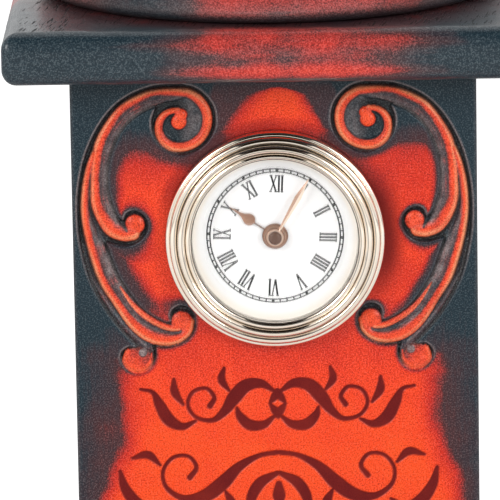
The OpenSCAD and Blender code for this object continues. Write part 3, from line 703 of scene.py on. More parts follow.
BRANCH = [
    (-53.2, 26.5, 1.0, 1.2, 1.0, 0.5), (-54.9, 21.2, 1.4, 1.3, 0.4, 0.7),
    (-56.0, 15, 1.5, 1.5, 0.25, 0.75), (-56.3, 8.5, 1.6, 1.9, 0.25, 0.75),
    (-55.4, 1.5, 1.65, 3.6, 0.25, 0.8), (-53.5, -5.8, 1.75, 6.0, 0.25, 0.8),
    (-51.0, -12.9, 1.8, 6.6, 0.25, 0.8), (-47.5, -18.7, 1.7, 6.6, 0.25, 1.0),
    (-44.1, -24.0, 1.8, 6.2, 0.3, 1.3), (-41.5, -27.1, 1.9, 5.8, 0.3, 1.5),
    (-38.7, -29.3, 2.0, 5.4, 0.3, 1.6), (-35.4, -30.7, 2.0, 5.0, 0.3, 1.65),
    (-32.0, -31.1, 1.8, 4.4, 0.3, 1.6), (-28.8, -30.2, 1.7, 3.6, 0.3, 1.35),
    (-26.4, -28.2, 1.6, 2.8, 0.3, 1.25), (-25.5, -25.4, 1.5, 2.2, 0.35, 1.15),
]
THIRD = [
    (-46.2, -14.2, 0.9, 0.9, 1.1, 0.2), (-43.4, -18.5, 1.2, 1.1, 0.8, 0.6),
    (-40.4, -21.8, 1.5, 1.2, 0.6, 0.95), (-37.6, -24.0, 1.6, 1.2, 0.5, 1.05),
    (-34.8, -25.7, 1.6, 1.2, 0.5, 1.05), (-31.9, -26.9, 1.5, 1.2, 0.5, 0.95),
    (-29.6, -27.2, 1.3, 1.2, 0.5, 0.8),
]
OUTER = [
    (-57.2, -1.5, 0.8, 0.8, 1.5, 0.0), (-55.3, -10.6, 1.1, 1.1, 1.1, 0.0),
    (-51.6, -18, 1.6, 1.6, 0.85, 0.0), (-47.6, -24.4, 2.0, 2.0, 0.75, 0.0),
    (-43.6, -29.4, 2.4, 2.4, 0.7, 0.0), (-39.8, -33.4, 2.8, 2.8, 0.7, 0.0),
]
CURL = [
    (-44.6, -34.2, 1.1, 2.2, 0.7, 1.2), (-44.9, -37.0, 1.6, 3.6, 0.4, 2.1),
    (-43.0, -39.1, 1.6, 4.4, 0.3, 2.2), (-40.2, -39.2, 1.6, 4.6, 0.3, 1.1),
    (-37.9, -37.4, 1.6, 4.4, 0.4, 0.35), (-37.3, -34.2, 1.5, 3.6, 0.6, 0.0),
]
# Domed ends of the stems: x, y, radius, depth of the top
KNOBS = [
    (-27.9, 35.4, 2.6, 0.25), (-27.2, 37.5, 2.1, 0.3), (-41.5, 4.6, 3.4, 0.15), (-42.2, 2.6, 2.6, 0.3),
    (-28.2, -25.3, 3.7, 0.2),
]
# Small curl under the scroll: middle and radius, then middle, radius and top of the bump in it
CURL_BOWL = (-41.0, -36.8, 5.0)
CURL_BUMP = (-39.9, -34.5, 1.3, 0.3)
# Cut lines: x, y, half width, extra depth
VOLUTE_CUT = [
    (-34.4, 38.6, 0.4, 0.2), (-32.4, 40.0, 0.5, 0.5), (-29.2, 40.9, 0.55, 0.6), (-26.4, 40.2, 0.6, 0.7),
    (-24.4, 38.2, 0.6, 0.7), (-23.7, 35.6, 0.6, 0.7), (-24.5, 32.9, 0.6, 0.7), (-26.7, 31.3, 0.6, 0.7),
    (-29.2, 31.1, 0.6, 0.7), (-31.1, 32.4, 0.6, 0.7), (-31.5, 34.7, 0.55, 0.6), (-30.2, 37.0, 0.4, 0.5),
]
LOW_CUT = [
    (-46.6, -16.6, 0.6, 0.0), (-43.6, -21.2, 0.6, 0.15), (-40.6, -24.3, 0.6, 0.35),
    (-37.7, -26.5, 0.6, 0.45), (-34.9, -28.0, 0.55, 0.5), (-31.9, -28.8, 0.5, 0.6),
    (-29.2, -28.6, 0.45, 0.6), (-28.4, -27.9, 0.3, 0.2),
]
MID_KNOB_CUT = [(-45.2, 5.6, 0.6, 0.8), (-44.7, 4.0, 0.55, 0.6), (-44.0, 2.6, 0.4, 0.3)]


def smoothstep(value, low, high):
    t = np.clip((value - low) / (high - low), 0, 1)
    return t * t * (3 - 2 * t)


def curve_through(points, steps):
    """Smooth curve through points; every column is carried along."""
    p = np.asarray(points, float)
    p = np.vstack([2 * p[0] - p[1], p, 2 * p[-1] - p[-2]])
    t = (np.arange(steps) / steps)[:, None]
    rows = []
    for a, b, c, d in zip(p, p[1:], p[2:], p[3:]):
        rows.append(0.5 * (2 * b + (c - a) * t + (2 * a - 5 * b + 4 * c - d) * t ** 2
                           + (3 * b - a - 3 * c + d) * t ** 3))
    return np.vstack(rows + [p[-2:-1]])


def nearest(line, x, y):
    """For every place: distance to the line, 1 on its left side or -1, and how far along it lies."""
    distance = np.full(x.shape, FAR)
    side = np.ones(x.shape)
    along = np.zeros(x.shape)
    for k, (a, b) in enumerate(zip(line, line[1:])):
        dx, dy = b[0] - a[0], b[1] - a[1]
        t = np.clip(((x - a[0]) * dx + (y - a[1]) * dy) / (dx * dx + dy * dy), 0, 1)
        px, py = x - a[0] - t * dx, y - a[1] - t * dy
        d = np.hypot(px, py)
        hit = d < distance
        distance[hit] = d[hit]
        side[hit] = np.where(dx * py - dy * px > 0, 1.0, -1.0)[hit]
        along[hit] = k + t[hit]
    return distance, side, along


def column(line, along, k):
    """Value of a line's column, at places along it."""
    return np.interp(along, np.arange(len(line)), line[:, k])


def inside_outline(line, x, y):
    """Whether each place lies inside a closed line."""
    inside = np.zeros(x.shape, bool)
    for a, b in zip(line, np.roll(line, -1, axis=0)):
        if a[1] != b[1]:
            crosses = (a[1] > y) != (b[1] > y)
            inside ^= crosses & (x < (b[0] - a[0]) * (y - a[1]) / (b[1] - a[1]) + a[0])
    return inside


def blend_up(a, b, k):
    """Larger of two heights, rounded where they meet."""
    return np.maximum(a, b) + np.maximum(k - np.abs(a - b), 0) ** 2 / (4 * k)


def soft_noise(x, y, size, seed):
    """Smooth random field from -1 to 1 with bumps of about this size."""
    lattice = np.random.default_rng(seed).uniform(-1, 1, (64, 64))
    u, v = x / size, y / size
    i, j = np.floor(u).astype(int), np.floor(v).astype(int)
    fu, fv = smoothstep(u - i, 0, 1), smoothstep(v - j, 0, 1)

    def knot(di, dj):
        return lattice[(i + di) % 64, (j + dj) % 64]

    low = knot(0, 0) * (1 - fu) + knot(1, 0) * fu
    high = knot(0, 1) * (1 - fu) + knot(1, 1) * fu
    return low * (1 - fv) + high * fv


def volute_line():
    """Ridge that opens from the eye of the volute: one turn of a spiral, then a steady radius."""
    rows = []
    for degrees in range(100, 441, 12):
        grow = smoothstep(degrees, 100, 265)
        radius = 2.9 + 5.4 * grow
        wide = 1.0 + 0.7 * smoothstep(degrees, 130, 270) - 0.9 * smoothstep(degrees, 380, 440)
        angle = math.radians(degrees)
        rows.append((EYE[0] + radius * math.cos(angle), EYE[1] + radius * math.sin(angle),
                     1.1 + 0.75 * grow, 1.1 + 0.9 * grow, 0.3, wide))
    return rows


def ridge(line, x, y, floor):
    """Height of a rounded ridge with a steep outer and a gentle inner side, and its paint."""
    distance, side, along = nearest(line, x, y)
    inner = side > 0
    width = np.where(inner, column(line, along, 3), column(line, along, 2))
    share = distance / width
    t = np.clip(share, 0, 1)
    power = np.where(inner, 1.15, 0.75)
    height = -floor + (floor - column(line, along, 4)) * (1 - t * t) ** power
    painted = column(line, along, 5)
    reach = np.maximum(np.where(inner, painted * 1.2, np.minimum(painted * 1.25, width * 0.95)), 0.01)
    paint = (1 - 0.28 * smoothstep(distance, 0, reach) * inner) * (painted > 0.05)
    paint = paint * (1 - smoothstep(distance, reach * 0.6, reach * np.where(inner, 1.9, 1.2)))
    streak = 0.07 * np.cos(distance * 5.4) * inner
    # Painted highlight along the outer flank
    sheen = np.exp(-((distance - 0.42 * width) / (0.3 * width)) ** 2) * ~inner
    return height, paint, share, inner, streak, sheen * smoothstep(painted, 0, 0.4)


def raise_ridges(x, y, inside, height, floor):
    """Ridges and knobs on the sunk ground: new height, paint of the crests, streaks, sheen, haze, and
    which places lie on the inner side of a ridge."""
    # Each ridge with how much grey haze lies on its inner side
    ridges = [(volute_line() + STEM, 1.0), (BRANCH, 1.0), (THIRD, 0.8), (OUTER, 0.25), (CURL, 0.0)]
    crest, flank, shine, haze = np.zeros((4, *x.shape))
    best = np.full(x.shape, FAR)
    on_inner = np.zeros(x.shape, bool)
    for rows, hazy in ridges:
        up, paint, share, inner, streak, sheen = ridge(curve_through(rows, 6), x, y, floor)
        height = blend_up(height, np.where(inside, up, -floor), ROOT)
        crest = np.maximum(crest, paint * smoothstep(up, -1.5, -0.9))
        closer = share < best
        best[closer] = share[closer]
        on_inner[closer] = inner[closer]
        flank[closer] = streak[closer]
        shine[closer] = (sheen * (0.25 + 0.75 * hazy))[closer]
        haze[closer] = (hazy * np.exp(-((share - 0.5) / 0.2) ** 2) * inner)[closer]
    for kx, ky, radius, top in KNOBS:
        t = np.hypot(x - kx, y - ky) / radius
        up = -floor + (floor - top) * np.sqrt(np.maximum(1 - t * t, 0))
        height = blend_up(height, np.where(inside, up, -floor), ROOT)
        crest = np.maximum(crest, 1 - smoothstep(t, 0.7, 1.02))
    return height, crest, flank, shine, haze, on_inner


def raise_small_curl(x, y, inside, height, crest, floor):
    """Small curl under the scroll: new height, paint of the crests, and the bump in it."""
    bowl_x, bowl_y, bowl_r = CURL_BOWL
    bowl = 1 - smoothstep(np.hypot(x - bowl_x, y - bowl_y) / bowl_r, 0.8, 1.0)
    bowl = bowl * smoothstep(bowl_x + 0.2 - x + 1.6 * (bowl_y + 2.2 - y), -6.5, -1.0)
    height = np.maximum(height, -floor + (floor - CURL_FACE) * bowl * inside)
    crest = np.maximum(crest, bowl * (0.44 + 0.5 * smoothstep(bowl_x - x + bowl_y - y, -3.5, 3.0)))
    bump_x, bump_y, bump_r, bump_top = CURL_BUMP
    t = np.hypot(x - bump_x, y - bump_y) / bump_r
    lump = -CURL_FACE + (CURL_FACE - bump_top) * np.sqrt(np.maximum(1 - t * t, 0))
    height = np.where(t < 1, np.maximum(height, lump), height)
    bump = 1 - smoothstep(t, 0.6, 1.1)
    return height, crest * (1 - 0.75 * bump), bump


def cut_lines(x, y, height, crest, haze, floor):
    """Lines cut into the ridges: new height, paint of the crests and haze."""
    for cut in (VOLUTE_CUT, LOW_CUT, MID_KNOB_CUT):
        line = curve_through(cut, 6)
        gap, _, along = nearest(line, x, y)
        notch = np.exp(-(gap / column(line, along, 2)) ** 2)
        height = np.maximum(height - column(line, along, 3) * notch, -floor - 0.1)
        crest = crest * (1 - 0.9 * notch)
        if cut is LOW_CUT:
            haze = np.maximum(haze, 0.7 * notch)
    return height, crest, haze


def scroll_relief(x, y, settings):
    """Fields of the left scroll: height, paint of the crests, dark groove, streaks, sheen, haze and
    distance inside its outline."""
    floor = settings.floor_depth
    outline = np.vstack([curve_through(stretch, 8)[:-1] for stretch in OUTLINE])
    closed = np.vstack([outline, outline[:1]])
    distance = nearest(closed, x, y)[0]
    inside = inside_outline(outline, x, y)
    deep = np.where(inside, distance, -distance)
    height = -floor * smoothstep(deep, 0, settings.wall_width)
    height, crest, flank, shine, haze, on_inner = raise_ridges(x, y, inside, height, floor)
    height, crest, bump = raise_small_curl(x, y, inside, height, crest, floor)
    height, crest, haze = cut_lines(x, y, height, crest, haze, floor)
    haze = np.maximum(haze, bump) * (1 - smoothstep(-height, 1.2, 1.7))
    height = np.minimum(height, 0)
    # Dark glaze and painted shade: in the deep grooves, stronger on the outer sides, and at the foot of
    # the outline's wall
    groove = smoothstep(-height, 1.0, 1.8) * inside * np.where(on_inner, 0.4, 0.9)
    foot = smoothstep(deep, 0.0, 0.25) * (1 - smoothstep(deep, 0.8, 1.4))
    groove = np.maximum(groove, foot * smoothstep(-height, 0.25, 0.9))
    return height, crest * inside, groove, flank * inside, shine * inside, haze * inside, deep


# Half width of the bright ground at each height, from the foot of the column to its top
GLOW_EDGE = [
    (-140, 30), (-128, 43), (-112, 51), (-95, 54), (-82, 53.5), (-70, 50), (-60, 47), (-50, 46),
    (-41, 47.5), (-36, 46.5), (-31, 38), (-27, 39), (-22, 46), (-15, 51), (28, 51), (33, 17),
    (35, 14), (38, 11), (41, 8.5), (43, 6.8), (44.5, 3.6), (46, -4), (48, -12),
]
# Brightness of the ground at each height
GLOW_LEVEL = [
    (-140, 0.88), (-65, 0.92), (-46, 0.76), (-36, 0.62), (-29, 0.58), (-26, 0.52), (-21, 0.62),
    (-15, 0.7), (-8, 0.76), (4, 0.82), (13, 0.72), (22, 0.62), (30, 0.52), (35, 0.76), (43, 0.8),
    (50, 0.5),
]
# Further tables over the height: how much wider the bright ground is on the right, how soft its edge
# is, how far the shade reaches from the scroll, and how grey the inner sides of the ridges are
RIGHT_WIDER = ([-45, -30, 30, 38, 41, 44, 46], [2.6, 0.8, 0.8, 1.2, 2.8, 4.2, 3.0])
EDGE_SOFT = ([-60, -36, -20, 25, 34], [13.0, 11.0, 5.0, 6.0, 12.0])
SHADE_REACH = ([-24, -14, -6, 1, 8, 14], [7.5, 8.5, 8.5, 3.6, 3.4, 6.0])
INNER_GREY = ([-33, -30, -26, -18, -10, 0, 30], [0.9, 0.3, 0.1, 0.35, 0.6, 0.45, 0.28])


def ground_warmth(x, y, deep):
    """Warmth of the flat ground, from slate at the edges to orange in the middle."""
    right = smoothstep(x, -3, 3)
    wide = np.abs(x)
    # Bright ground and its wandering edge
    heights, widths = np.array(GLOW_EDGE).T
    edge = np.interp(y, heights, widths) + 1.5 * soft_noise(x, y, 9.0, 11)
    edge = edge + 0.5 * soft_noise(x, y, 3.6, 22) + 0.3 * soft_noise(x, y, 0.9, 23)
    edge = edge + right * np.interp(y, *RIGHT_WIDER)
    soft = np.interp(y, *EDGE_SOFT) * (1 - 0.4 * right * (y > 30))
    warm = smoothstep(edge - wide, -0.5 * soft, 0.7 * soft)
    # Dull red past that edge, low on the board and then beside the clock
    halo = smoothstep(np.interp(y, [-140, -60, -40], [62, 59, 55]) - wide, -9, 9)
    halo = halo * smoothstep(-y, 10, 44) * np.interp(y, [-65, -45], [0.26, 0.2])
    fade_low = np.interp(wide, [17, 24], [45, 27])
    fade_high = np.interp(wide, [17, 24], [50, 39])
    shoulder = smoothstep(y, -24, -16) * (1 - smoothstep(y, fade_low, fade_high))
    halo = np.maximum(halo, 0.21 * shoulder * (1 - smoothstep(wide, 50, 54)))
    # Brightness of the ground, less to the right of the clock and towards the upper corners
    heights, levels = np.array(GLOW_LEVEL).T
    level = np.interp(y, heights, levels) + 0.05 * soft_noise(x, y, 5.0, 12)
    level = level - 0.1 * right * smoothstep(24 - np.abs(y - 4), 0, 12)
    top = smoothstep(y + 4.0 * soft_noise(x, y, 8.0, 15), 14 + 4 * right, 42)
    level = level * (1 - 0.9 * top * smoothstep(wide, 17, 24))
    level = level * (1 - 0.5 * smoothstep(wide, 12, 19) * smoothstep(y, 26, 31))
    # Shade beside the scroll, round the clock's rim and along the carved outline
    between = smoothstep(y, -27, -18) * (1 - smoothstep(y, 30, 36))
    reach = np.interp(y, *SHADE_REACH)
    reach = reach * (1 - 0.55 * (1 - smoothstep(wide, 28, 38)) * smoothstep(-y, 4, 14))
    field = smoothstep(-deep, -0.6, reach * (1 - 0.5 * right)) ** np.interp(y, [-6, 2], [1.7, 1.0])
    close = 1 - between * (1 - field) * 0.8
    upper = smoothstep(y, 4, 24)
    rim = np.hypot(x, y)
    shadow = 1 - (0.06 + 0.2 * upper) * (1 - smoothstep(np.abs(rim - 33), 0.5, 6.0))
    contact = 1 - 0.5 * np.exp(-(deep / 0.7) ** 2)
    return np.maximum(warm * level * close * shadow, halo) * contact


def ring_shade(x, y):
    """Painted dark red shade round the clock: a faint ring above it and a deeper shade beside it."""
    rim = np.hypot(x, y)
    above = smoothstep(y, 6, 16)
    ring = 0.32 * (1 - smoothstep(rim, 35.3, 36.1)) * above * (1 - 0.4 * smoothstep(x, -3, 3))
    edge = 0.22 * np.exp(-((rim - 36.0) / 0.35) ** 2) * above
    beside = smoothstep(x, 20, 30) * (1 - smoothstep(np.abs(y - 3), 8, 26))
    beside = beside * (1 - smoothstep(rim, 33.5, 41))
    return np.maximum(np.maximum(ring, edge), 0.85 * beside)


# Engraved flourishes below the clock: x, y and half width along each stroke of the left half
STROKES = [
    [(-1.2, -46.5, 0.6), (-5, -44.3, 1.4), (-9.5, -45, 2.0), (-13, -48.6, 2.1), (-15.8, -52.6, 1.4),
     (-19.5, -55.4, 0.8), (-24.4, -54.4, 0.6), (-26.8, -50.6, 0.6), (-25.2, -46.6, 0.6),
     (-21.2, -45.6, 0.6), (-18.9, -48.4, 0.7), (-20.2, -51, 0.9)],
    [(-1.2, -54.6, 0.6), (-4.4, -57, 1.3), (-8.4, -57, 1.7), (-11.2, -54.4, 1.3), (-12.2, -51.8, 0.5)],
    [(-24.6, -55.6, 0.5), (-28.6, -57.2, 1.2), (-32.6, -55, 1.9), (-35.2, -50.4, 1.6),
     (-37.2, -46.6, 0.7), (-40.8, -45.6, 0.5)],
    [(-28.2, -50.4, 0.5), (-30.6, -46.6, 1.3), (-30.8, -42.6, 0.5)],
    [(-14.4, -46.4, 0.5), (-16.6, -43, 1.2), (-15.8, -39.4, 0.5)],
    [(-2.4, -50.5, 0.4), (-1.0, -48.6, 1.2), (0.2, -47, 1.3)],
    [(-2.4, -50.5, 0.4), (-1.0, -52.4, 1.2), (0.2, -54, 1.3)],
    [(-0.5, -65.6, 0.8), (-6, -66.6, 0.8), (-12, -70, 1.5), (-17, -75, 2.2), (-22.4, -78.8, 2.0),
     (-28.6, -79.4, 1.1), (-33.6, -76, 0.7), (-34.6, -71, 0.6), (-31.6, -66.8, 0.6), (-27, -66.4, 0.6),
     (-24.6, -69.8, 0.7), (-26.6, -73, 0.9)],
    [(-33.4, -80.4, 0.5), (-38, -82.8, 1.3), (-42.6, -80.8, 1.9), (-46, -76, 1.5), (-47.4, -70.8, 0.6)],
    [(-16, -77.4, 0.5), (-14.4, -81.4, 1.6), (-16.6, -86, 1.4), (-21, -88, 0.5)],
    [(-35.4, -69, 0.5), (-39, -65.8, 1.3), (-43.6, -66.8, 0.5)],
    [(-0.5, -72, 0.8), (-5.6, -75, 1.7), (-8.4, -80, 1.5), (-7.6, -84.8, 0.6), (-3.8, -86.4, 0.6),
     (-1.8, -83.6, 0.7)],
    [(0.2, -75.6, 1.3), (-0.8, -79.2, 1.1), (0.2, -82.4, 0.3)],
]


def stroke_mask(x, y):
    """1 inside the engraved strokes, 0 outside, with a steep edge."""
    mask = np.zeros(x.shape)
    for stroke in STROKES:
        line = curve_through(stroke, 8)
        low, high = line[:, :2].min(0) - 3, line[:, :2].max(0) + 3
        near = (x > low[0]) & (x < high[0]) & (y > low[1]) & (y < high[1])
        distance, _, along = nearest(line, x[near], y[near])
        cut = 1 - smoothstep(distance - column(line, along, 2), -0.2, 0.2)
        mask[near] = np.maximum(mask[near], cut)
    return mask


def board_field(x, y, settings):
    """Height and paint of the front board at places x, y from the clock's centre."""
    left = -np.abs(x)
    height, crest, groove, flank, shine, haze, deep = scroll_relief(left, y, settings)
    strokes = stroke_mask(left, y)
    ground = ground_warmth(x, y, deep)
    # Stain inside the scroll: dark red low down, warm on the crests, slate in the volute
    sunk = smoothstep(deep, 0.0, 0.5)
    low = smoothstep(-height, 0.8, 1.7)
    swirl = 1 - smoothstep(np.hypot(left - EYE[0], y - EYE[1]), 6.4, 7.4)
    hidden = 0.22 + 0.6 * flank + 0.09 * soft_noise(x, y, 2.5, 13) - 0.1 * low
    hidden = hidden * (1 - 0.8 * swirl)
    tone = 0.74 + 0.1 * soft_noise(x, y, 4.0, 14) + 0.09 * soft_noise(x, y, 1.3, 17)
    warmth = ground * (1 - sunk) + sunk * np.maximum(hidden, crest * tone)
    # Painted highlight: paler grey on the right of the volute's hollow
    pale = swirl * smoothstep(left - EYE[0], -1, 4) * (1 - crest)
    # Dark glaze and painted shade in the grooves, less on the crests
    soot = groove * (1 - crest) * (1 - 0.4 * pale)
    # Thin painted highlight along the outline's rim where it faces up and outwards, and a faint one
    # along the board's upright edges
    facing_up = -np.gradient(deep, y[:, 0], axis=0)
    facing_out = np.gradient(deep, x[0], axis=1) * np.where(x > 0, -1, 1)
    volute = smoothstep(y, 20, 24) * smoothstep(left, -40, -36)
    lit = 0.25 + 0.75 * np.maximum(smoothstep(facing_out, -0.2, 0.5), volute)
    line = np.exp(-((deep + 0.2) / 0.22) ** 2) * smoothstep(facing_up, -0.6, 0.1) * lit
    side = smoothstep(np.abs(x), HALF_W - 1.2, HALF_W)
    worn = 0.6 * line * (1 - 0.95 * smoothstep(ground, 0.08, 0.4)) + 0.1 * side
    # Grey haze on the inner sides and in the volute, partly rubbed wear and partly painted sheen
    grain = 0.75 + 0.35 * soft_noise(x, y, 2.0, 18) + 0.3 * soft_noise(x, y * 0.35, 0.8, 19)
    worn = worn + sunk * haze * (1 - 0.6 * crest) * np.interp(y, *INNER_GREY) * grain
    worn = worn + 0.3 * pale * sunk * grain
    # Painted highlight on the ridges' outer flanks and faintly over the crests
    sheen = sunk * (0.85 * shine * (0.65 + 0.45 * soft_noise(x, y, 5.0, 16)) + 0.09 * crest)
    height = height - settings.stroke_depth * strokes
    height = height + 0.03 * (soft_noise(x, y, 7.0, 3) - 1) + 0.012 * soft_noise(x, y, 1.6, 4)
    # Engraved strokes, and the painted dark red shade round the clock outside the carving
    burnt = np.maximum(strokes, ring_shade(x, y) * (deep < 0))
    return height, {"warmth": warmth, "soot": soot, "worn": worn, "sheen": sheen, "burnt": burnt}


def even_rows(low, high, spacing):
    """Places from low to high, about this far apart."""
    return np.linspace(low, high, int(round((high - low) / spacing)) + 1)


def edge_columns(spacing):
    """Places across the board: close together where its upright edges are rounded."""
    flat = HALF_W - EDGE_R
    arc = [flat + EDGE_R * math.sin(math.radians(a)) for a in (15, 32, 48, 64, 78, 90)]
    return np.concatenate([-np.array(arc[::-1]), even_rows(-flat, flat, spacing), arc])


def board_mesh(name, columns, rows, settings):
    """Closed board from its carved face, with the round hole for the clock where it falls in."""
    x, y = np.meshgrid(columns, rows)
    height, paint = board_field(x, y, settings)
    over = np.clip((np.abs(x) - (HALF_W - EDGE_R)) / EDGE_R, 0, 1)
    height = height * (over < 1) - EDGE_R * (1 - np.sqrt(np.maximum(1 - over ** 2, 0)))
    above = y - CARVING_DOWN
    radius = np.hypot(x, above)
    cell = settings.spacing
    kept_corner = radius >= BORE_R
    snap = kept_corner & (radius < BORE_R + 0.75 * cell)
    pull = np.where(snap, BORE_R / np.maximum(radius, 1e-6), 1.0)
    points = np.stack([x * pull, FACE_Y - height, CLOCK_Z + above * pull], axis=-1).reshape(-1, 3)
    index = np.arange(x.size).reshape(x.shape)
    quads = np.stack([index[:-1, :-1], index[:-1, 1:], index[1:, 1:], index[1:, :-1]], axis=-1)
    quads = quads.reshape(-1, 4)
    quads = quads[kept_corner.reshape(-1)[quads].all(axis=1)]
    used, numbers = np.unique(quads, return_inverse=True)
    mesh = make_mesh(name, points[used], numbers.reshape(quads.shape))
    store(mesh, **{key: value.reshape(-1)[used] for key, value in paint.items()})
    return close_behind(mesh)


def close_behind(mesh):
    """Closes a carved face with walls round it and a flat back."""
    bm = bmesh.new()
    bm.from_mesh(mesh)
    for face in bm.faces:
        face.smooth = True
    rim = [edge for edge in bm.edges if edge.is_boundary]
    for edge in rim:
        edge.smooth = False
    made = bmesh.ops.extrude_edge_only(bm, edges=rim)["geom"]
    back = [item for item in made if isinstance(item, bmesh.types.BMVert)]
    for vertex in back:
        vertex.co.y = BOARD_HIGH[1] * MM
    for face in made:
        if isinstance(face, bmesh.types.BMFace):
            face.smooth = False
    loops = [item for item in made if isinstance(item, bmesh.types.BMEdge) and item.is_boundary]
    cap = bmesh.ops.triangle_fill(bm, edges=loops, use_beauty=False, normal=(0, 1, 0))["geom"]
    for face in cap:
        if isinstance(face, bmesh.types.BMFace):
            face.smooth = False
    bmesh.ops.recalc_face_normals(bm, faces=bm.faces)
    bm.to_mesh(mesh)
    bm.free()
    return mesh


# Heights from the carving's middle where the board's mesh is split and where the engraving ends,
# and the rows of points below that
SPLIT = -44.0
ENGRAVED_END = -90.0
PLAIN_ROWS = 26


class CLOCK_OT_front_board(bpy.types.Operator):
    """Build the carved front board"""
    bl_idname = "clock.front_board"
    bl_label = "Front board"

    def execute(self, context):
        settings = context.scene.clock_carving
        columns = edge_columns(settings.spacing)
        bottom, top = BOARD_LOW[2] - CARVING_Z, BOARD_HIGH[2] - CARVING_Z
        upper = even_rows(SPLIT, top, settings.spacing)
        plain = np.linspace(bottom, ENGRAVED_END, PLAIN_ROWS)[:-1]
        lower = np.concatenate([plain, even_rows(ENGRAVED_END, SPLIT, settings.spacing)])
        for name, rows in (("front_board_upper", upper), ("front_board_lower", lower)):
            mesh = board_mesh(name, columns, rows, settings)
            add_piece(mesh, MATERIALS["wood_upright"], "case", "stained_wood_red", "front_panel")
        return {"FINISHED"}


# Case

def burst(along, half):
    """Warm glow in the middle of a side that fades towards its ends."""
    return 1 - smoothstep(np.abs(along), 0.28 * half, 0.78 * half)


# Rounding of the plain boards' edges, and the distance between their rows of points
PANEL_EDGE = 0.35
PANEL_STEP = 6


def panel_mesh(name, node, inner_axis):
    """Board of a node's size with slightly rounded edges and rows of points for its stain."""
    low, high = box_mm(node)
    size = high - low
    bm = bmesh.new()
    bmesh.ops.create_cube(bm, size=1.0, matrix=Matrix.Diagonal((*(size * MM), 1)))
    mesh = bpy.data.meshes.new(name)
    bmesh.ops.bevel(
        bm, geom=bm.edges[:], offset=PANEL_EDGE * MM, segments=2, profile=0.5, affect="EDGES")
    for axis in range(3):
        if axis == inner_axis:
            continue
        cuts = int(size[axis] // PANEL_STEP)
        for k in range(1, cuts):
            place = Vector((0, 0, 0))
            place[axis] = (k / cuts - 0.5) * size[axis] * MM
            normal = Vector((0, 0, 0))
            normal[axis] = 1
            bmesh.ops.bisect_plane(
                bm, geom=bm.verts[:] + bm.edges[:] + bm.faces[:], plane_co=place, plane_no=normal)
    bmesh.ops.translate(bm, verts=bm.verts, vec=Vector((low + high) / 2 * MM))
    bmesh.ops.recalc_face_normals(bm, faces=bm.faces)
    bm.to_mesh(mesh)
    bm.free()
    return smooth_faces(mesh, 50)


class CLOCK_OT_case_boards(bpy.types.Operator):
    """Build the side and back boards"""
    bl_idname = "clock.case_boards"
    bl_label = "Side and back boards"

    def execute(self, context):
        for name, node, inner_axis in (
                ("left_board", "left_panel", 0), ("right_board", "right_panel", 0),
                ("back_board", "back_panel", 1)):
            mesh = panel_mesh(name, node, inner_axis)
            p = points_of(mesh)
            across = p[:, 0] if inner_axis == 1 else p[:, 1]
            up = p[:, 2] - (BOARD_LOW[2] + BOARD_HIGH[2]) / 2
            half_height = (BOARD_HIGH[2] - BOARD_LOW[2]) / 2
            wander = 6 * soft_noise(across, up, 30.0, 21)
            glow = burst(across + wander, HALF_W * 0.92) * burst(up + wander, half_height * 0.98)
            lip = smoothstep(np.abs(up), half_height - 14, half_height)
            store(mesh, warmth=0.72 * glow * (1 - lip), soot=0.35 * lip, worn=0.0, sheen=0.0, burnt=0.0)
            add_piece(mesh, MATERIALS["wood_upright"], "case", "stained_wood_dark", node)
        return {"FINISHED"}


def rounded_square(half, corner, per_side, per_corner):
    """Points of a square with rounded corners, from one corner round, in order."""
    points = []
    flat = half - corner
    for k in range(4):
        turn = k * math.pi / 2
        ring = [(half, -flat + 2 * flat * i / per_side) for i in range(per_side)]
        ring += [(flat + corner * math.cos(a), flat + corner * math.sin(a))
                 for a in (math.pi / 2 * i / per_corner for i in range(per_corner))]
        c, s = math.cos(turn), math.sin(turn)
        points += [(c * x - s * y, s * x + c * y) for x, y in ring]
    return np.array(points)


PLATE_ROUNDING = 5.0
PLATE_CORNER = 2.2
# Small wear in the top faces: dents, and how far the flat sags between its high places
DENTS = 46
DENT_DEPTH = 0.22
DENT_R = 1.8
SAG = 0.12


def plate_mesh(name, node, rounding):
    """Square plate with rounded long edges, from rings that shrink towards the middle."""
    low, high = box_mm(node)
    half = high[0]
    thick = high[2] - low[2]
    steps = np.radians([0, 12, 24, 36, 48, 60, 72, 82, 90])
    middle, base, top = half - rounding, low[2] + rounding, high[2] - rounding
    under = [(middle + rounding * math.sin(a), base - rounding * math.cos(a)) for a in steps]
    over = [(middle + rounding * math.cos(a), top + rounding * math.sin(a)) for a in steps]
    wall = [(half, z) for z in np.linspace(base, top, 7)[1:-1]]
    inset = np.linspace(middle, 3.0, 26)[1:]
    profile = [(r, low[2]) for r in inset[::-1]] + under + wall + over + [(r, high[2]) for r in inset]
    per_side, per_corner = 64, 5
    rings = []
    for reach, z in profile:
        corner = max(PLATE_CORNER - 0.6 * max(half - reach, 0), 0.3)
        flat = rounded_square(reach, corner, per_side, per_corner)
        rings.append(np.column_stack([flat, np.full(len(flat), z)]))
    n = len(rings[0])
    points = np.vstack(rings + [[(0, 0, low[2])], [(0, 0, high[2])]])
    faces = []
    for i in range(len(rings) - 1):
        for j in range(n):
            k = (j + 1) % n
            faces.append((i * n + j, i * n + k, (i + 1) * n + k, (i + 1) * n + j))
    last = (len(rings) - 1) * n
    for j in range(n):
        k = (j + 1) % n
        faces.append((len(points) - 2, k, j))
        faces.append((len(points) - 1, last + j, last + k))
    sag = SAG * soft_noise(points[:, 0] + 200, points[:, 1] + 200, 6.0, 31)
    dents = np.zeros(len(points))
    rng = np.random.default_rng(7)
    for _ in range(DENTS):
        place = rng.uniform(-half, half, 2)
        away = np.hypot(points[:, 0] - place[0], points[:, 1] - place[1])
        dents -= DENT_DEPTH * np.exp(-(away / DENT_R) ** 2)
    upper = points[:, 2] > high[2] - 0.5 * thick
    points[:, 2] += np.where(upper, np.minimum(sag - SAG, 0) + dents, 0)
    return smooth_faces(outward(make_mesh(name, points, faces)), 50)


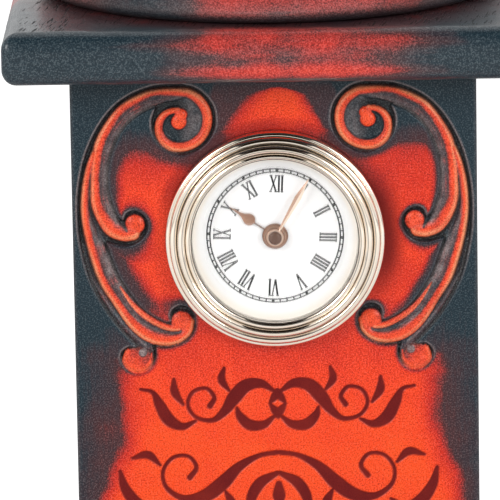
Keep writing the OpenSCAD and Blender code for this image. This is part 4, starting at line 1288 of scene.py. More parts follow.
def plate_paint(mesh, low, high):
    """Streaks of red along the upper rounding and orange along the lower one, on all four sides, with
    painted shade on the underside and a painted grey highlight on the sides.
    """
    p = points_of(mesh)
    half = np.abs(p[:, :2]).max()
    on_x = np.abs(p[:, 0]) > np.abs(p[:, 1])
    along = np.where(on_x, p[:, 1], p[:, 0])
    out = half - np.maximum(np.abs(p[:, 0]), np.abs(p[:, 1]))
    t = (p[:, 2] - low) / (high - low)
    wander = 7 * soft_noise(along + 300, p[:, 2] * 3, 16.0, 41)
    top_streak = np.exp(-((t - 0.8) / 0.16) ** 2)
    low_streak = np.exp(-((t - 0.24) / 0.12) ** 2)
    taper = 8 * np.exp(-((t - 0.74) / 0.1) ** 2) + 6 * low_streak - 4
    ends = 1 - smoothstep(np.abs(along - 6) + wander - taper, 14, 54)
    brushed = 0.05 * soft_noise(along * 0.3 + 90, p[:, 2], 1.6, 42)
    front = smoothstep(10 - out, 0, 8)
    band = 0.33 + 0.09 * top_streak + 0.21 * low_streak - 0.5 * np.exp(-(t / 0.07) ** 2) + brushed
    warm = np.maximum(ends * front * band, 0)
    top = (t > 0.9) * (1 - front)
    warm = warm + top * 0.22 * (1 - smoothstep(np.hypot(p[:, 0], p[:, 1]), 70, 100))
    # Painted shade on the underside
    under = (t < 0.05) * smoothstep(out, 4, 8)
    # Painted grey highlight over the middle of the sides and along the top edge
    haze = 0.05 * ends * front + 0.04 * np.exp(-((t - 1) / 0.08) ** 2) * front
    slits = (t > 0.95) * smoothstep(out, 3.5, 6)
    store(mesh, warmth=warm, soot=0.5 * under, worn=haze, sheen=0.0, burnt=0.0, slits=slits)


class CLOCK_OT_plates(bpy.types.Operator):
    """Build the cornice and base plates"""
    bl_idname = "clock.plates"
    bl_label = "Plates"

    def execute(self, context):
        for name, node, material in (
                ("cornice", "cornice_plate", "wood_level"), ("base", "base_plate", "wood_base")):
            low, high = box_mm(node)
            mesh = plate_mesh(name, node, PLATE_ROUNDING)
            plate_paint(mesh, low[2], high[2])
            add_piece(mesh, MATERIALS[material], "case", "stained_wood_dark", node)
        return {"FINISHED"}


ROUND_DISC_RIM = 4.5
CROWN_DISC_RIM = 3.5
FINIAL_NECK_R = 5.5
FINIAL_BALL_R = 9.0
FELT_FOOT_R = 10.0


def disc_profile(node, rounding):
    """Profile of a disc with a rounded rim, from its underside round to its top."""
    low, high = box_mm(node)
    r = high[0]
    steps = np.radians(np.linspace(0, 90, 10))
    middle, base, top = r - rounding, low[2] + rounding, high[2] - rounding
    under = [(middle + rounding * math.sin(a), base - rounding * math.cos(a)) for a in steps]
    over = [(middle + rounding * math.cos(a), top + rounding * math.sin(a)) for a in steps]
    wall = [(r, z) for z in np.linspace(base, top, 5)[1:-1]]
    inward = np.linspace(r - rounding, 0, 16)[1:]
    return [(x, low[2]) for x in inward[::-1]] + under + wall + over + [(x, high[2]) for x in inward]


def turned_paint(mesh, low, high, level):
    """Stain of a turned piece: four warm patches round it and dark between them, with painted shade at
    its foot and painted highlights along its rims.
    """
    p = points_of(mesh)
    angle = np.arctan2(p[:, 1], p[:, 0])
    t = (p[:, 2] - low) / (high - low)
    four = (0.5 + 0.5 * np.cos(4 * (angle - math.radians(12)))) ** 0.6
    wander = 0.3 * soft_noise(np.degrees(angle) + 200, p[:, 2] * 4, 14.0, 51)
    radius = np.hypot(p[:, 0], p[:, 1])
    warm = smoothstep(four + wander, -0.15, 0.9) * level
    # Painted shade at the foot
    warm = warm * (1 - 0.55 * np.exp(-((t - 0.05) / 0.12) ** 2))
    # Painted highlights along the upper rim and the lower rim (below), and a faint grey all over
    rim = np.exp(-((t - 0.93) / 0.06) ** 2) * (radius > 0.9 * radius.max())
    soot = 0.75 * np.exp(-(t / 0.1) ** 2)
    low_rim = np.exp(-((t - 0.2) / 0.06) ** 2) * (radius > 0.9 * radius.max())
    store(mesh, warmth=warm, soot=soot, worn=0.12 * rim + 0.2 * low_rim + 0.04, sheen=0.0, burnt=0.0)


def dome_profile(node):
    """Profile of the dome: a short straight rim and a slice of a ball."""
    low, high = box_mm(node)
    r = high[0]
    rim = 3.0
    cap = high[2] - low[2] - rim
    ball = (r * r + cap * cap) / (2 * cap)
    centre = high[2] - ball
    widest = math.asin(r / ball)
    arc = [(ball * math.sin(a), centre + ball * math.cos(a)) for a in np.linspace(widest, 0, 40)]
    inward = np.linspace(r, 0, 8)[1:]
    return [(x, low[2]) for x in inward[::-1]] + [(r - 0.4, low[2]), (r, low[2] + 0.4)] + arc


def finial_profile(node):
    """Profile of the finial: a foot ring, a short neck and a ball."""
    low, high = box_mm(node)
    neck_r, ball_r = FINIAL_NECK_R, FINIAL_BALL_R
    foot_r = neck_r + 2
    centre = high[2] - ball_r
    foot = [(0, low[2]), (foot_r - 0.3, low[2]), (foot_r, low[2] + 0.5), (foot_r, low[2] + 1.4),
            (foot_r - 0.6, low[2] + 2), (neck_r, low[2] + 2)]
    start = math.asin(neck_r / ball_r) - math.pi
    arc = [(ball_r * math.sin(-a), centre + ball_r * math.cos(a)) for a in np.linspace(start, 0, 36)]
    return foot + arc


class CLOCK_OT_turned_top(bpy.types.Operator):
    """Turn the discs, the dome and the finial"""
    bl_idname = "clock.turned_top"
    bl_label = "Turned top"

    def execute(self, context):
        wood = MATERIALS["wood_level"]
        segments = 160
        shapes = [
            ("round_disc", disc_profile("round_disc", ROUND_DISC_RIM), 0.4, "stained_wood_red"),
            ("crown_disc", disc_profile("crown_disc", CROWN_DISC_RIM), 0.4, "stained_wood_dark"),
            ("dome", dome_profile("dome"), 0.8, "stained_wood_red"),
            ("finial", finial_profile("finial"), 0.45, "stained_wood_dark"),
        ]
        for node, profile, level, slot in shapes:
            low, high = box_mm(node)
            mesh = turned(node + "_wood", profile, segments, wood)
            turned_paint(mesh, low[2], high[2], level)
            add_piece(mesh, wood, "case", slot, node)
        return {"FINISHED"}


class CLOCK_OT_inner_wood(bpy.types.Operator):
    """Dress the strips, dowels and feet"""
    bl_idname = "clock.inner_wood"
    bl_label = "Strips, dowels and feet"

    def execute(self, context):
        dress(MATERIALS["pine"], "corner_strips", "cornice_dowels", "top_dowel")
        low, high = box_mm("felt_feet")
        foot_r = FELT_FOOT_R
        reach = high[0] - foot_r
        profile = [(0, low[2]), (foot_r - 0.5, low[2]), (foot_r - 0.1, low[2] + 0.4),
                   (foot_r, low[2] + 1.2), (foot_r, high[2] - 0.2), (foot_r - 0.1, high[2]),
                   (0, high[2])]
        foot = turned("felt_foot", profile, 48, MATERIALS["felt"])
        places = [(x, y, 0) for x in (-reach, reach) for y in (-reach, reach)]
        mesh = smooth_faces(copied("felt_pads", foot, places, 1.3, MATERIALS["felt"]))
        add_piece(mesh, MATERIALS["felt"], "case", "felt", "felt_feet")
        return {"FINISHED"}


# Fasteners

def screw_mesh(name, head_r, shank_r, head_h, length, point_r, recess):
    """Countersunk screw with a cross recess, its head's face at zero, pointing up."""
    radii = [0.001] + [head_r * k / 9 for k in range(1, 10)]
    around = 48
    angles = [2 * math.pi * j / around for j in range(around)]
    points, faces = [], []
    for radius in radii:
        for a in angles:
            x, y = radius * math.cos(a), radius * math.sin(a)
            cross = min(abs(x), abs(y)) < head_r * 0.13 and radius < head_r * 0.62
            points.append((x, y, recess if cross else 0.0))
    turns = max(int((length - head_h) / (shank_r * 0.9)), 3)
    thread = [(head_r, head_h * 0.08), (shank_r, head_h)]
    for k in range(turns):
        z = head_h + (length - head_h - shank_r) * (k + 0.5) / turns
        deep = shank_r * (0.78 if length > 3 * shank_r else 1.0)
        thread += [(deep, z), (shank_r, z + shank_r * 0.3)]
    thread += [(point_r, length)]
    for radius, z in thread:
        points += [(radius * math.cos(a), radius * math.sin(a), z) for a in angles]
    rows = len(radii) + len(thread)
    for i in range(rows - 1):
        for j in range(around):
            k = (j + 1) % around
            faces.append((i * around + j, i * around + k, (i + 1) * around + k, (i + 1) * around + j))
    faces.append(tuple(range(around)))
    faces.append(tuple(range((rows - 1) * around, rows * around))[::-1])
    return smooth_faces(outward(make_mesh(name, points, faces)), 30)


SCREW_HEAD_R = 4.0
SCREW_SHANK_R = 2.0
SCREW_HEAD_H = 2.5
SCREW_POINT_R = 0.4
SCREW_RECESS = 1.6


class CLOCK_OT_case_screws(bpy.types.Operator):
    """Set the wood screws of the base and the round disc"""
    bl_idname = "clock.case_screws"
    bl_label = "Wood screws"

    def execute(self, context):
        zinc = MATERIALS["zinc"]
        low, high = box_mm("base_screws")
        at_base = [(x, y) for x in (low[0] + SCREW_HEAD_R, high[0] - SCREW_HEAD_R)
                   for y in (low[1] + SCREW_HEAD_R, high[1] - SCREW_HEAD_R)]
        reach = box_mm("disc_screws")[1][1] - SCREW_HEAD_R
        at_disc = [(reach * math.cos(a), reach * math.sin(a)) for a in np.radians([90, 210, 330])]
        for node, places, turn in (("base_screws", at_base, 0.7), ("disc_screws", at_disc, 0.9)):
            low, high = box_mm(node)
            screw = screw_mesh(
                node.removesuffix("s"), SCREW_HEAD_R, SCREW_SHANK_R, SCREW_HEAD_H,
                high[2] - low[2], SCREW_POINT_R, SCREW_RECESS)
            mesh = copied(node + "_zinc", screw, [(x, y, low[2]) for x, y in places], turn, zinc)
            add_piece(smooth_faces(mesh, 30), zinc, "case", "zinc_screw", node)
        return {"FINISHED"}


# Clock insert, in its own axes: zero is the board's face and plus Z is forward

def seated(mesh):
    """Moves a mesh from the insert's own axes to its place in the board."""
    mesh.transform(AT_CLOCK)
    return mesh


def depth_of(node):
    """Front and back of a node along the insert's axis, from the board's face."""
    low, high = box_mm(node)
    return FACE_Y - high[1], FACE_Y - low[1]


BEZEL_R = (BEZEL_HIGH[0] - BEZEL_LOW[0]) / 2
LENS_R = (LENS_HIGH[0] - LENS_LOW[0]) / 2
LENS_LIP = 0.95
WINDOW_R = LENS_R - LENS_LIP
BEZEL_H = FACE_Y - BEZEL_LOW[1]
# Round ribs of the bezel: radius, height and the rib's own radius
BEZEL_RIBS = [
    (BEZEL_R - 0.9, 3.3, 0.9), (BEZEL_R - 2.4, 4.7, 1.15), (BEZEL_R - 4.7, BEZEL_H - 1.15, 1.15),
    (WINDOW_R + 1, 5.7, 1.0),
]
# Height over the board at which the painted shade at the bezel's foot ends
FOOT_LOW, FOOT_HIGH = 0.7, 1.0
# Width of the painted shade line between two ribs
GROOVE_W = 0.34
# Flange of the cup behind the bezel, how far it stands back from the rim, and the play round it
FLANGE_T = 1.5
FLANGE_INSET = 1.5
BEZEL_GAP = 0.15


def bezel_profile():
    """Ribbed profile of the bezel, closed behind by the recesses for the flange and the lens."""
    front = []
    for k, (radius, height, rib) in enumerate(BEZEL_RIBS):
        for degrees in range(-4, 185, 6):
            a = math.radians(degrees)
            x, z = radius + rib * math.cos(a), height + rib * math.sin(a)
            hidden = any(math.hypot(x - r, z - h) < other - 1e-6
                         for i, (r, h, other) in enumerate(BEZEL_RIBS) if i != k)
            if not hidden and (k > 0 or degrees < 90 or z > height):
                front.append((x, z))
    lens_front = FACE_Y - LENS_LOW[1]
    flange_r = BEZEL_R - FLANGE_INSET + BEZEL_GAP
    recess_r = LENS_R + BEZEL_GAP
    back = [(WINDOW_R, lens_front), (recess_r, lens_front), (recess_r, FLANGE_T), (flange_r, FLANGE_T),
            (flange_r, 0.0), (BEZEL_R, 0.0), (BEZEL_R, FOOT_LOW), (BEZEL_R, FOOT_HIGH)]
    return front + back


def rib_meeting(outer, inner):
    """Radius and height of the groove where two neighbouring ribs meet."""
    gap = math.hypot(outer[0] - inner[0], outer[1] - inner[1])
    toward = (gap * gap + outer[2] ** 2 - inner[2] ** 2) / (2 * gap)
    rise = math.sqrt(max(outer[2] ** 2 - toward ** 2, 0))
    ux, uz = (inner[0] - outer[0]) / gap, (inner[1] - outer[1]) / gap
    return outer[0] + ux * toward + uz * rise, outer[1] + uz * toward - ux * rise


def bezel_grooves(mesh):
    """Painted darkness of the bezel: shade between its ribs, a thin reflection line on each, and shade
    at its foot and lip.
    """
    p = points_of(mesh)
    radius, height = np.hypot(p[:, 0], p[:, 1]), p[:, 2]
    groove = np.zeros(len(p))
    for outer, inner in zip(BEZEL_RIBS, BEZEL_RIBS[1:]):
        meet_r, meet_z = rib_meeting(outer, inner)
        away = np.hypot(radius - meet_r, height - meet_z)
        groove = np.maximum(groove, np.minimum(1.3 * np.exp(-(away / GROOVE_W) ** 2), 1))
    for rib_at, rib_height, rib_r in BEZEL_RIBS[1:]:
        line = np.exp(-((radius - rib_at + 0.25 * rib_r) / 0.12) ** 2) * (height > rib_height)
        groove = np.maximum(groove, 0.8 * line)
    foot = 1 - smoothstep(height, FOOT_LOW, FOOT_HIGH)
    lip = (radius < WINDOW_R + 0.15) * (1 - smoothstep(height, 5.0, 5.9))
    lip = np.maximum(lip, np.exp(-((radius - WINDOW_R - 0.16) / 0.16) ** 2))
    return np.maximum(groove, np.maximum(foot, lip))


class CLOCK_OT_bezel(bpy.types.Operator):
    """Turn the gold bezel and dress the lens, the reflector ring, the cup and its back"""
    bl_idname = "clock.bezel"
    bl_label = "Bezel and lens"

    def execute(self, context):
        segments = context.scene.clock_insert.turns
        mesh = turned(
            "bezel_gold", bezel_profile(), segments, MATERIALS["gold"], closed_ring=True, angle=50)
        store(mesh, groove=bezel_grooves(mesh))
        add_piece(seated(mesh), MATERIALS["gold"], "insert", "gold_plate", "bezel")
        dress(MATERIALS["lens"], "lens")
        dress(MATERIALS["cream"], "reflector_ring")
        dress(MATERIALS["black_plastic"], "insert_cup", "battery_cover", "set_knob")
        dress(MATERIALS["rubber"], "grip_ring")
        return {"FINISHED"}


# Dial print

# Heights of the print over the dial
PRINT_LOW = 0.005
PRINT_HIGH = 0.035
BLOCK_HIGH = 0.045
NUMERAL_H = 4.85
NUMERAL_R = 15.75
TRACK_IN, TRACK_OUT = 19.15, 20.45
TRACK_LINE = 0.38
MINUTE_HALF_W = 0.19
BLOCK_HALF_W = 0.42
THIN, THICK = 0.34, 0.56
UPRIGHT_SERIF, SLANTED_SERIF = 0.4, 0.42
LETTER_GAP = 0.35
LETTER_W = {"I": 0.95, "V": 2.3, "X": 2.3}
NUMERALS = ["XII", "I", "II", "III", "IIII", "V", "VI", "VII", "VIII", "IX", "X", "XI"]


def bar(x0, y0, x1, y1, width):
    """Slanted stroke with level ends."""
    half = width / 2
    return [(x0 - half, y0), (x0 + half, y0), (x1 + half, y1), (x1 - half, y1)]


def serif(x, y, reach=SLANTED_SERIF):
    """Short level line across the end of a stroke."""
    return bar(x, y - THIN / 2, x, y + THIN / 2, 2 * reach)


def letter_strokes(letter, x):
    """Strokes of one letter whose middle is at x, standing on the line y = 0."""
    h = NUMERAL_H
    if letter == "I":
        return [bar(x, 0, x, h, THICK), serif(x, 0, UPRIGHT_SERIF), serif(x, h, UPRIGHT_SERIF)]
    slope = LETTER_W[letter] / 2 - LETTER_GAP
    left, right = x - slope, x + slope
    if letter == "V":
        return [bar(left, h, x, 0, THICK)[::-1], bar(right, h, x, 0, THIN)[::-1],
                serif(left, h), serif(right, h)]
    return [bar(left, h, right, 0, THICK)[::-1], bar(right, h, left, 0, THIN)[::-1],
            serif(left, h), serif(right, h), serif(left, 0), serif(right, 0)]


def numeral_solids(text, angle):
    """Printed numeral at an angle clockwise from twelve, its foot towards the middle."""
    total = sum(LETTER_W[letter] for letter in text)
    c, s = math.cos(angle), math.sin(angle)
    x = -total / 2
    solids = []
    for letter in text:
        for outline in letter_strokes(letter, x + LETTER_W[letter] / 2):
            raised = [(px, py + NUMERAL_R - NUMERAL_H / 2) for px, py in outline]
            placed = [(px * c + py * s, py * c - px * s) for px, py in raised]
            solids.append(prism(placed, PRINT_LOW, PRINT_HIGH))
        x += LETTER_W[letter]
    return solids


def track_mark(name, half, high):
    """Mark across the minute track, at twelve."""
    outline = [(-half, TRACK_IN), (half, TRACK_IN), (half, TRACK_OUT), (-half, TRACK_OUT)]
    return gather(name, [prism(outline, PRINT_LOW, high)])


class CLOCK_OT_dial(bpy.types.Operator):
    """Print the minute track and the numerals on the dial"""
    bl_idname = "clock.dial"
    bl_label = "Dial"

    def execute(self, context):
        settings = context.scene.clock_insert
        ink = MATERIALS["ink"]
        turn = settings.dial_turn
        dress(MATERIALS["dial_white"], "dial")
        face = Matrix.Translation((0, 0, depth_of("dial")[1] * MM))
        rings = []
        for inner in (TRACK_IN, TRACK_OUT - TRACK_LINE):
            outer = inner + TRACK_LINE
            profile = [(inner, PRINT_LOW), (outer, PRINT_LOW), (outer, PRINT_HIGH),
                       (inner, PRINT_HIGH)]
            rings.append(turned("track_ring", profile, settings.turns, ink, closed_ring=True))
        track = joined("dial_track", rings)
        mark = track_mark("minute_mark", MINUTE_HALF_W, PRINT_HIGH)
        marks = copied("minute_marks", mark, [(0, 0, 0)] * 60, math.radians(6), ink)
        block = track_mark("hour_block", BLOCK_HALF_W, BLOCK_HIGH)
        blocks = copied("hour_blocks", block, [(0, 0, 0)] * 12, math.radians(30), ink)
        solids = []
        for k, text in enumerate(NUMERALS):
            solids += numeral_solids(text, math.radians(30 * k))
        numerals = gather("numerals", solids)
        outward(numerals)
        for mesh in (track, marks, blocks, numerals):
            mesh.transform(AT_CLOCK @ face @ Matrix.Rotation(-turn, 4, "Z"))
            mesh.name = "dial_" + mesh.name.removeprefix("dial_")
            add_piece(mesh, ink, "insert", "black_plastic")
        return {"FINISHED"}


# Hands

# Angle between the blade's faces, in degrees, from which the edge is sharp
BLADE_CREASE = 14


def hand_reach(node):
    """Length of a hand at rest and the angle of its tip, anticlockwise from three."""
    p = points_of(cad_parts[node].data)
    x, y = p[:, 0], p[:, 2] - CLOCK_Z
    reach = np.hypot(x, y)
    tip = reach.argmax()
    return reach[tip], math.atan2(y[tip], x[tip])


def half_blade(stations, low, side_h, crease_h, side):
    """Half of a stamped blade along +X from stations (distance, half width), high at the crease."""
    points, faces = [], []
    for reach, half in stations:
        points += [(reach, 0, low), (reach, side * half, low), (reach, side * half, low + side_h),
                   (reach, 0, low + crease_h)]
    n = 4
    last = (len(stations) - 1) * n
    for i in range(0, last, n):
        faces += [(i + j, i + (j + 1) % n, i + n + (j + 1) % n, i + n + j) for j in range(n)]
    faces += [tuple(range(n)), tuple(range(last, last + n))[::-1]]
    return points, faces


def blade_mesh(name, stations, low, side_h, crease_h, left, right):
    """Stamped blade of two halves, each with its own painted paleness, so one half can read as lit and
    the other as shaded.
    """
    halves = []
    for side, pale in ((1, left), (-1, right)):
        half = outward(gather(name, [half_blade(stations, low, side_h, crease_h, side)]))
        store(half, pale=pale)
        halves.append(half)
    return joined(name, halves)


def hub_mesh(name, inner, outer, low, steps, shades):
    """Stepped hub ring: steps are (share of the way out, height), shades (radius, paleness)."""
    top = [(inner + (outer - inner) * share, low + height) for share, height in steps]
    profile = [(inner, low), *top, (outer, low)]
    mesh = turned(name, profile, 96, MATERIALS["bronze"], closed_ring=True, angle=25)
    p = points_of(mesh)
    radii, pales = zip(*shades)
    store(mesh, pale=np.interp(np.hypot(p[:, 0], p[:, 1]), radii, pales))
    return mesh


def hour_hand_mesh():
    """Hour hand: a thin stem, a round leaf with a long point, and its hub."""
    back = depth_of("hour_hand")[0]
    length, angle = hand_reach("hour_hand")
    leaf_at, leaf_r, hub_r, pipe_r = length * 0.57, 1.75, 3.85, 1.55
    shape = [(-1.08, 0.12), (-1.0, 0.28), (-0.84, 0.62), (-0.56, 0.87), (-0.2, 0.99), (0.16, 0.99),
             (0.5, 0.88), (0.85, 0.66), (1.25, 0.42), (1.8, 0.25), (2.6, 0.15)]
    stations = [(leaf_at + leaf_r * a, leaf_r * b) for a, b in shape] + [(length - 0.1, 0.1)]
    leaf = blade_mesh("hour_hand_leaf", stations, back, 0.16, 0.3, -0.15, -0.2)
    stem = blade_mesh("hour_hand_stem", [(3.0, 0.24), stations[0]], back, 0.16, 0.3, -0.8, -0.8)
    blade = joined("hour_hand_blade", [leaf, stem])
    blade.transform(Matrix.Rotation(angle, 4, "Z"))
    steps = [(0, 0.3), (0.30, 0.3), (0.34, 0.18), (0.60, 0.16), (0.64, 0.3), (0.92, 0.3), (1.0, 0.16)]
    # Paleness of the hub's rings: painted highlight and shade
    shades = [(2.7, 0.1), (2.9, 0.4), (3.4, 0.1), (3.6, -0.5)]
    hub = hub_mesh("hour_hub", pipe_r, hub_r, back, steps, shades)
    return smooth_faces(joined("hour_hand_bronze", [blade, hub]), BLADE_CREASE)


def minute_hand_mesh():
    """Minute hand: a long blade, widest past its middle, and its hub."""
    back = depth_of("minute_hand")[0]
    length, angle = hand_reach("minute_hand")
    hub_r, arbor_r = 2.9, 0.62
    stations = [(2.2, 0.34), (4.0, 0.42), (length * 0.68, 1.0), (length * 0.80, 0.66),
                (length - 0.1, 0.08)]
    blade = blade_mesh("minute_hand_blade", stations, back, 0.12, 0.3, 0.12, 0.95)
    blade.transform(Matrix.Rotation(angle, 4, "Z"))
    steps = [(0, 0.22), (0.45, 0.22), (0.5, 0.3), (0.78, 0.3), (0.84, 0.18), (0.96, 0.18), (1.0, 0.1)]
    # Paleness of the hub's rings: painted highlight and shade
    shades = [(2.0, 0.55), (2.4, 0.4), (2.6, 0.1), (2.8, -0.5)]
    hub = hub_mesh("minute_hub", arbor_r, hub_r, back, steps, shades)
    return smooth_faces(joined("minute_hand_bronze", [blade, hub]), BLADE_CREASE)


def cap_profile():
    """Profile of the cap on the hands: a straight wall and a rounded, flattened top."""
    back, front = depth_of("hand_cap")
    low, high = box_mm("hand_cap")
    cap_r = (high[0] - low[0]) / 2
    return [(0, back), (cap_r, back), (cap_r, back + 0.75), (cap_r - 0.1, back + 0.95),
            (cap_r - 0.35, back + 1.15), (cap_r - 0.7, back + 1.3), (cap_r - 1.0, front), (0, front)]


class CLOCK_OT_hands(bpy.types.Operator):
    """Stamp the hands and turn the cap"""
    bl_idname = "clock.hands"
    bl_label = "Hands"

    def execute(self, context):
        bronze = MATERIALS["bronze"]
        add_piece(seated(hour_hand_mesh()), bronze, "hour_pipe", "hand_bronze", "hour_hand")
        add_piece(seated(minute_hand_mesh()), bronze, "minute_arbor", "hand_bronze", "minute_hand")
        cap = turned("cap_brown_dome", cap_profile(), 64, MATERIALS["cap"])
        add_piece(seated(cap), MATERIALS["cap"], "minute_arbor", "cap_brown", "hand_cap")
        return {"FINISHED"}


class CLOCK_OT_movement(bpy.types.Operator):
    """Dress the quartz movement"""
    bl_idname = "clock.movement"
    bl_label = "Movement"

    def execute(self, context):
        dress(MATERIALS["ivory"], "movement_front", "movement_back")
        dress(MATERIALS["zinc"], "movement_screws")
        dress(MATERIALS["steel"], "stator", "quartz_crystal")
        dress(MATERIALS["magnet"], "rotor")
        dress(MATERIALS["copper"], "coil")
        dress(MATERIALS["circuit"], "circuit_board")
        dress(MATERIALS["black_plastic"], "chip")
        dress(MATERIALS["brass"], "centre_wheel", "cell_contacts")
        dress(MATERIALS["gear"], "hour_wheel", "motion_wheel", "intermediate_wheel")
        dress(MATERIALS["cell"], "button_cell")
        return {"FINISHED"}


class CLOCK_OT_finishes(bpy.types.Operator):
    """Mix the finishes and build the node trees that the other steps use"""
    bl_idname = "clock.finishes"
    bl_label = "Finishes"

    def execute(self, context):
        wood = context.scene.clock_wood
        insert = context.scene.clock_insert
        MATERIALS.update({
            "wood_upright": stained_wood("stained_wood_upright", wood, (1100, 1100, 70), 0.18),
            "wood_level": stained_wood("stained_wood_level", wood, (70, 1100, 1100), 0.7),
            "wood_base": stained_wood("stained_wood_base", wood, (70, 1100, 1100), 0.15),
            "pine": plain_wood("bare_pine"),
            "felt": felt("pressed_felt"),
            "zinc": brushed_metal("zinc_plate", srgb(196, 200, 204), srgb(120, 124, 130), 0.34),
            "gold": polished_gold("champagne_plate", insert),
            "lens": clear_lens("clear_lens"),
            "cream": reflector_enamel("cream_enamel"),
            "dial_white": moulded(
                "dial_paint", tuple(insert.white), srgb(252, 252, 252), 0.5, 3200.0, 0.00001),
            "ink": moulded("dial_ink", tuple(insert.ink), srgb(10, 14, 14), 0.6, 3200.0, 0.00001),
            "bronze": stamped_bronze("hand_bronze"),
            "cap": moulded("cap_lacquer", srgb(112, 80, 64), srgb(82, 56, 44), 0.35),
            "black_plastic": moulded("black_plastic", srgb(34, 34, 36), srgb(22, 22, 24), 0.45),
            "rubber": moulded("grip_rubber", srgb(46, 46, 47), srgb(28, 28, 29), 0.8, 900.0, 0.0001),
            "ivory": moulded("ivory_plastic", srgb(236, 231, 218), srgb(222, 215, 198), 0.42),
            "steel": brushed_metal("bright_steel", srgb(188, 194, 199), srgb(136, 142, 148), 0.28),
            "magnet": brushed_metal("magnet_grey", srgb(98, 102, 106), srgb(66, 70, 74), 0.5),
            "copper": wound_wire("coil_winding"),
            "circuit": moulded(
                "circuit_green", srgb(52, 122, 70), srgb(28, 82, 44), 0.35, 700.0, 0.00005),
            "brass": brushed_metal("cut_brass", srgb(222, 184, 104), srgb(178, 138, 66), 0.3),
            "gear": moulded("gear_plastic", srgb(226, 192, 108), srgb(206, 168, 82), 0.4),
            "cell": brushed_metal("cell_steel", srgb(204, 206, 208), srgb(150, 153, 156), 0.22),
        })
        TREES.update(lathe=lathe_tree(), copies=copies_tree())
        return {"FINISHED"}


# Stage

def floor_material():
    """White floor that keeps the shadow: extra white only in what the camera and glass see."""
    material, g = new_material("studio_floor")
    paper = g.noise(g.place(), 3.0, 2.0, 0.5)
    base = g.mix(paper * 0.1, srgb(246, 246, 246), srgb(236, 236, 236))
    path = g.add("ShaderNodeLightPath", out="Is Camera Ray")
    seen = (path + path.out("Is Transmission Ray")).clamped()
    shader = g.add("ShaderNodeBsdfDiffuse", sockets={"Color": base})
    glow = g.add("ShaderNodeEmission", sockets={"Color": srgb(255, 255, 255), "Strength": seen * 0.6})
    both = g.add("ShaderNodeAddShader", sockets={0: shader, 1: glow})
    g.add("ShaderNodeOutputMaterial", sockets={"Surface": both})
    return material


def flag_material():
    """Dark cloth of the flag that darkens the metal's reflections."""
    material, g = new_material("studio_flag")
    weave = g.noise(g.place(), 40.0, 2.0, 0.5)
    glow = g.add("ShaderNodeEmission", sockets={
        "Color": g.mix(weave, srgb(18, 15, 13), srgb(40, 33, 28)), "Strength": 1.0})
    g.add("ShaderNodeOutputMaterial", sockets={"Surface": glow})
    return material


def stage_sheet(name, corners, material, faces=((0, 1, 2, 3),)):
    """Sheet of the stage from corners in metres."""
    mesh = make_mesh(name, np.array(corners) / MM, faces)
    sheet = bpy.data.objects.new(name, mesh)
    bpy.context.scene.collection.objects.link(sheet)
    mesh.materials.append(material)
    return sheet


def soft_lamp(name, place, target, size, power):
    """Square lamp that faces the target."""
    data = bpy.data.lights.new(name, "AREA")
    data.shape = "SQUARE"
    data.size = size
    data.energy = power
    lamp = bpy.data.objects.new(name, data)
    bpy.context.scene.collection.objects.link(lamp)
    lamp.location = place
    lamp.rotation_euler = (Vector(target) - Vector(place)).to_track_quat("-Z", "Y").to_euler()
    return lamp


# Place that the camera looks at, in millimetres from the carving's middle
AIM = (-7.5, 0.0, -3.45)
# Reach of the floor from the clock, and side of the square lamps, in metres
FLOOR_REACH = 6.0
LAMP_SIZE = 0.6


def aimed_camera(settings):
    """Camera that looks at the aim from its distance, turned by its three angles."""
    target = Vector((AIM[0], FACE_Y + AIM[1], CARVING_Z + AIM[2])) * MM
    pitch, yaw, roll = settings.pitch, settings.yaw, settings.roll
    level = math.cos(pitch)
    forward = Vector((-math.sin(yaw) * level, math.cos(yaw) * level, -math.sin(pitch)))
    right = Vector((math.cos(yaw), math.sin(yaw), 0))
    up = right.cross(forward)
    x_axis = right * math.cos(roll) - up * math.sin(roll)
    y_axis = right * math.sin(roll) + up * math.cos(roll)
    data = bpy.data.cameras.new("camera")
    data.sensor_fit = "HORIZONTAL"
    data.sensor_width = 36.0
    data.lens = settings.focal
    camera = bpy.data.objects.new("camera", data)
    bpy.context.scene.collection.objects.link(camera)
    basis = Matrix((x_axis, y_axis, -forward)).transposed()
    camera.matrix_world = Matrix.Translation(target - forward * settings.distance) @ basis.to_4x4()
    return camera


def studio_world(strength):
    """White world for what the camera, metal and glass see, and an even light of this strength."""
    world = bpy.data.worlds.new("studio")
    world.use_nodes = True
    world.node_tree.nodes.clear()
    g = Graph(world.node_tree)
    path = g.add("ShaderNodeLightPath", out="Is Camera Ray")
    seen = (path + path.out("Is Glossy Ray") + path.out("Is Transmission Ray")).clamped()
    sky = g.add("ShaderNodeBackground", sockets={
        "Color": srgb(255, 255, 255),
        "Strength": seen * (1 - path.out("Is Glossy Ray") * 0.1) + (1 - seen) * strength})
    g.add("ShaderNodeOutputWorld", sockets={"Surface": sky})
    return world


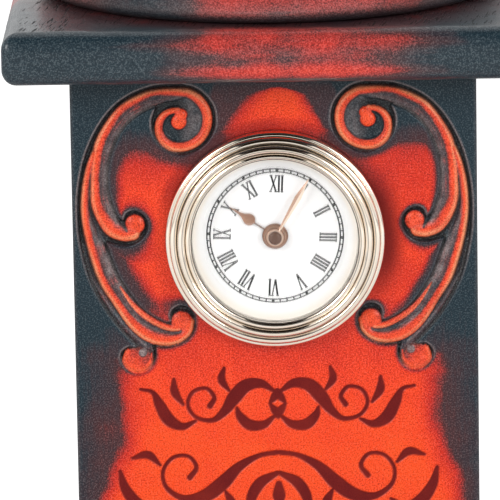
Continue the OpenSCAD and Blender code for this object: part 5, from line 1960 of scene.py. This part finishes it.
class CLOCK_OT_stage(bpy.types.Operator):
    """Set up the camera, the floor, the lamps and the world"""
    bl_idname = "clock.stage"
    bl_label = "Stage"

    def execute(self, context):
        scene = context.scene
        settings = scene.clock_stage
        scene.camera = aimed_camera(settings)
        far = FLOOR_REACH
        floor_corners = [(-far, -far, 0), (far, -far, 0), (far, far, 0), (-far, far, 0)]
        stage_sheet("floor", floor_corners, floor_material())
        flag_corners = [
            (-0.45, -2.1, 0.02), (0.45, -2.1, 0.02), (0.45, -2.1, 1.0), (2.2, -2.1, 4.5),
            (-2.2, -2.1, 4.5), (-0.45, -2.1, 1.0), (2.2, 0.2, 4.5), (-2.2, 0.2, 4.5)]
        flag = stage_sheet("flag", flag_corners, flag_material(), [(0, 1, 2, 3, 4, 5), (4, 3, 6, 7)])
        flag.visible_camera = False
        flag.visible_diffuse = False
        flag.visible_shadow = False
        flag.visible_transmission = False
        middle = (0, FACE_Y * MM, CLOCK_Z * MM)
        soft_lamp("key_lamp", (-0.95, -1.15, 0.8), middle, LAMP_SIZE, settings.key_power)
        soft_lamp("fill_lamp", (0.95, -1.15, 0.7), middle, LAMP_SIZE, settings.fill_power)
        scene.world = studio_world(settings.sky)
        scene.view_settings.view_transform = "Standard"
        return {"FINISHED"}


class CLOCK_PT_panel(bpy.types.Panel):
    """Steps of the clock, in order"""
    bl_idname = "CLOCK_PT_panel"
    bl_label = "Carved clock"
    bl_space_type = "VIEW_3D"
    bl_region_type = "UI"
    bl_category = "Clock"

    def draw(self, context):
        for group in SETTINGS:
            for name in SETTINGS[group].__annotations__:
                self.layout.prop(getattr(context.scene, group), name)
        for step in STEPS:
            self.layout.operator(step.bl_idname)


SETTINGS = {
    "clock_wood": ClockWoodSettings,
    "clock_carving": ClockCarvingSettings,
    "clock_insert": ClockInsertSettings,
    "clock_stage": ClockStageSettings,
}
STEPS = [
    CLOCK_OT_finishes, CLOCK_OT_stage, CLOCK_OT_front_board, CLOCK_OT_case_boards, CLOCK_OT_plates,
    CLOCK_OT_turned_top, CLOCK_OT_inner_wood, CLOCK_OT_case_screws, CLOCK_OT_bezel, CLOCK_OT_dial,
    CLOCK_OT_hands, CLOCK_OT_movement,
]


def register():
    for group in SETTINGS.values():
        bpy.utils.register_class(group)
    for name, group in SETTINGS.items():
        setattr(bpy.types.Scene, name, PointerProperty(type=group))
    for step in STEPS:
        bpy.utils.register_class(step)
    bpy.utils.register_class(CLOCK_PT_panel)


def unregister():
    bpy.utils.unregister_class(CLOCK_PT_panel)
    for step in reversed(STEPS):
        bpy.utils.unregister_class(step)
    for name, group in SETTINGS.items():
        delattr(bpy.types.Scene, name)
        bpy.utils.unregister_class(group)


def main():
    """Runs every step in order."""
    register()
    for step in STEPS:
        group, name = step.bl_idname.split(".")
        getattr(getattr(bpy.ops, group), name)()


if __name__ == "__main__":
    main()
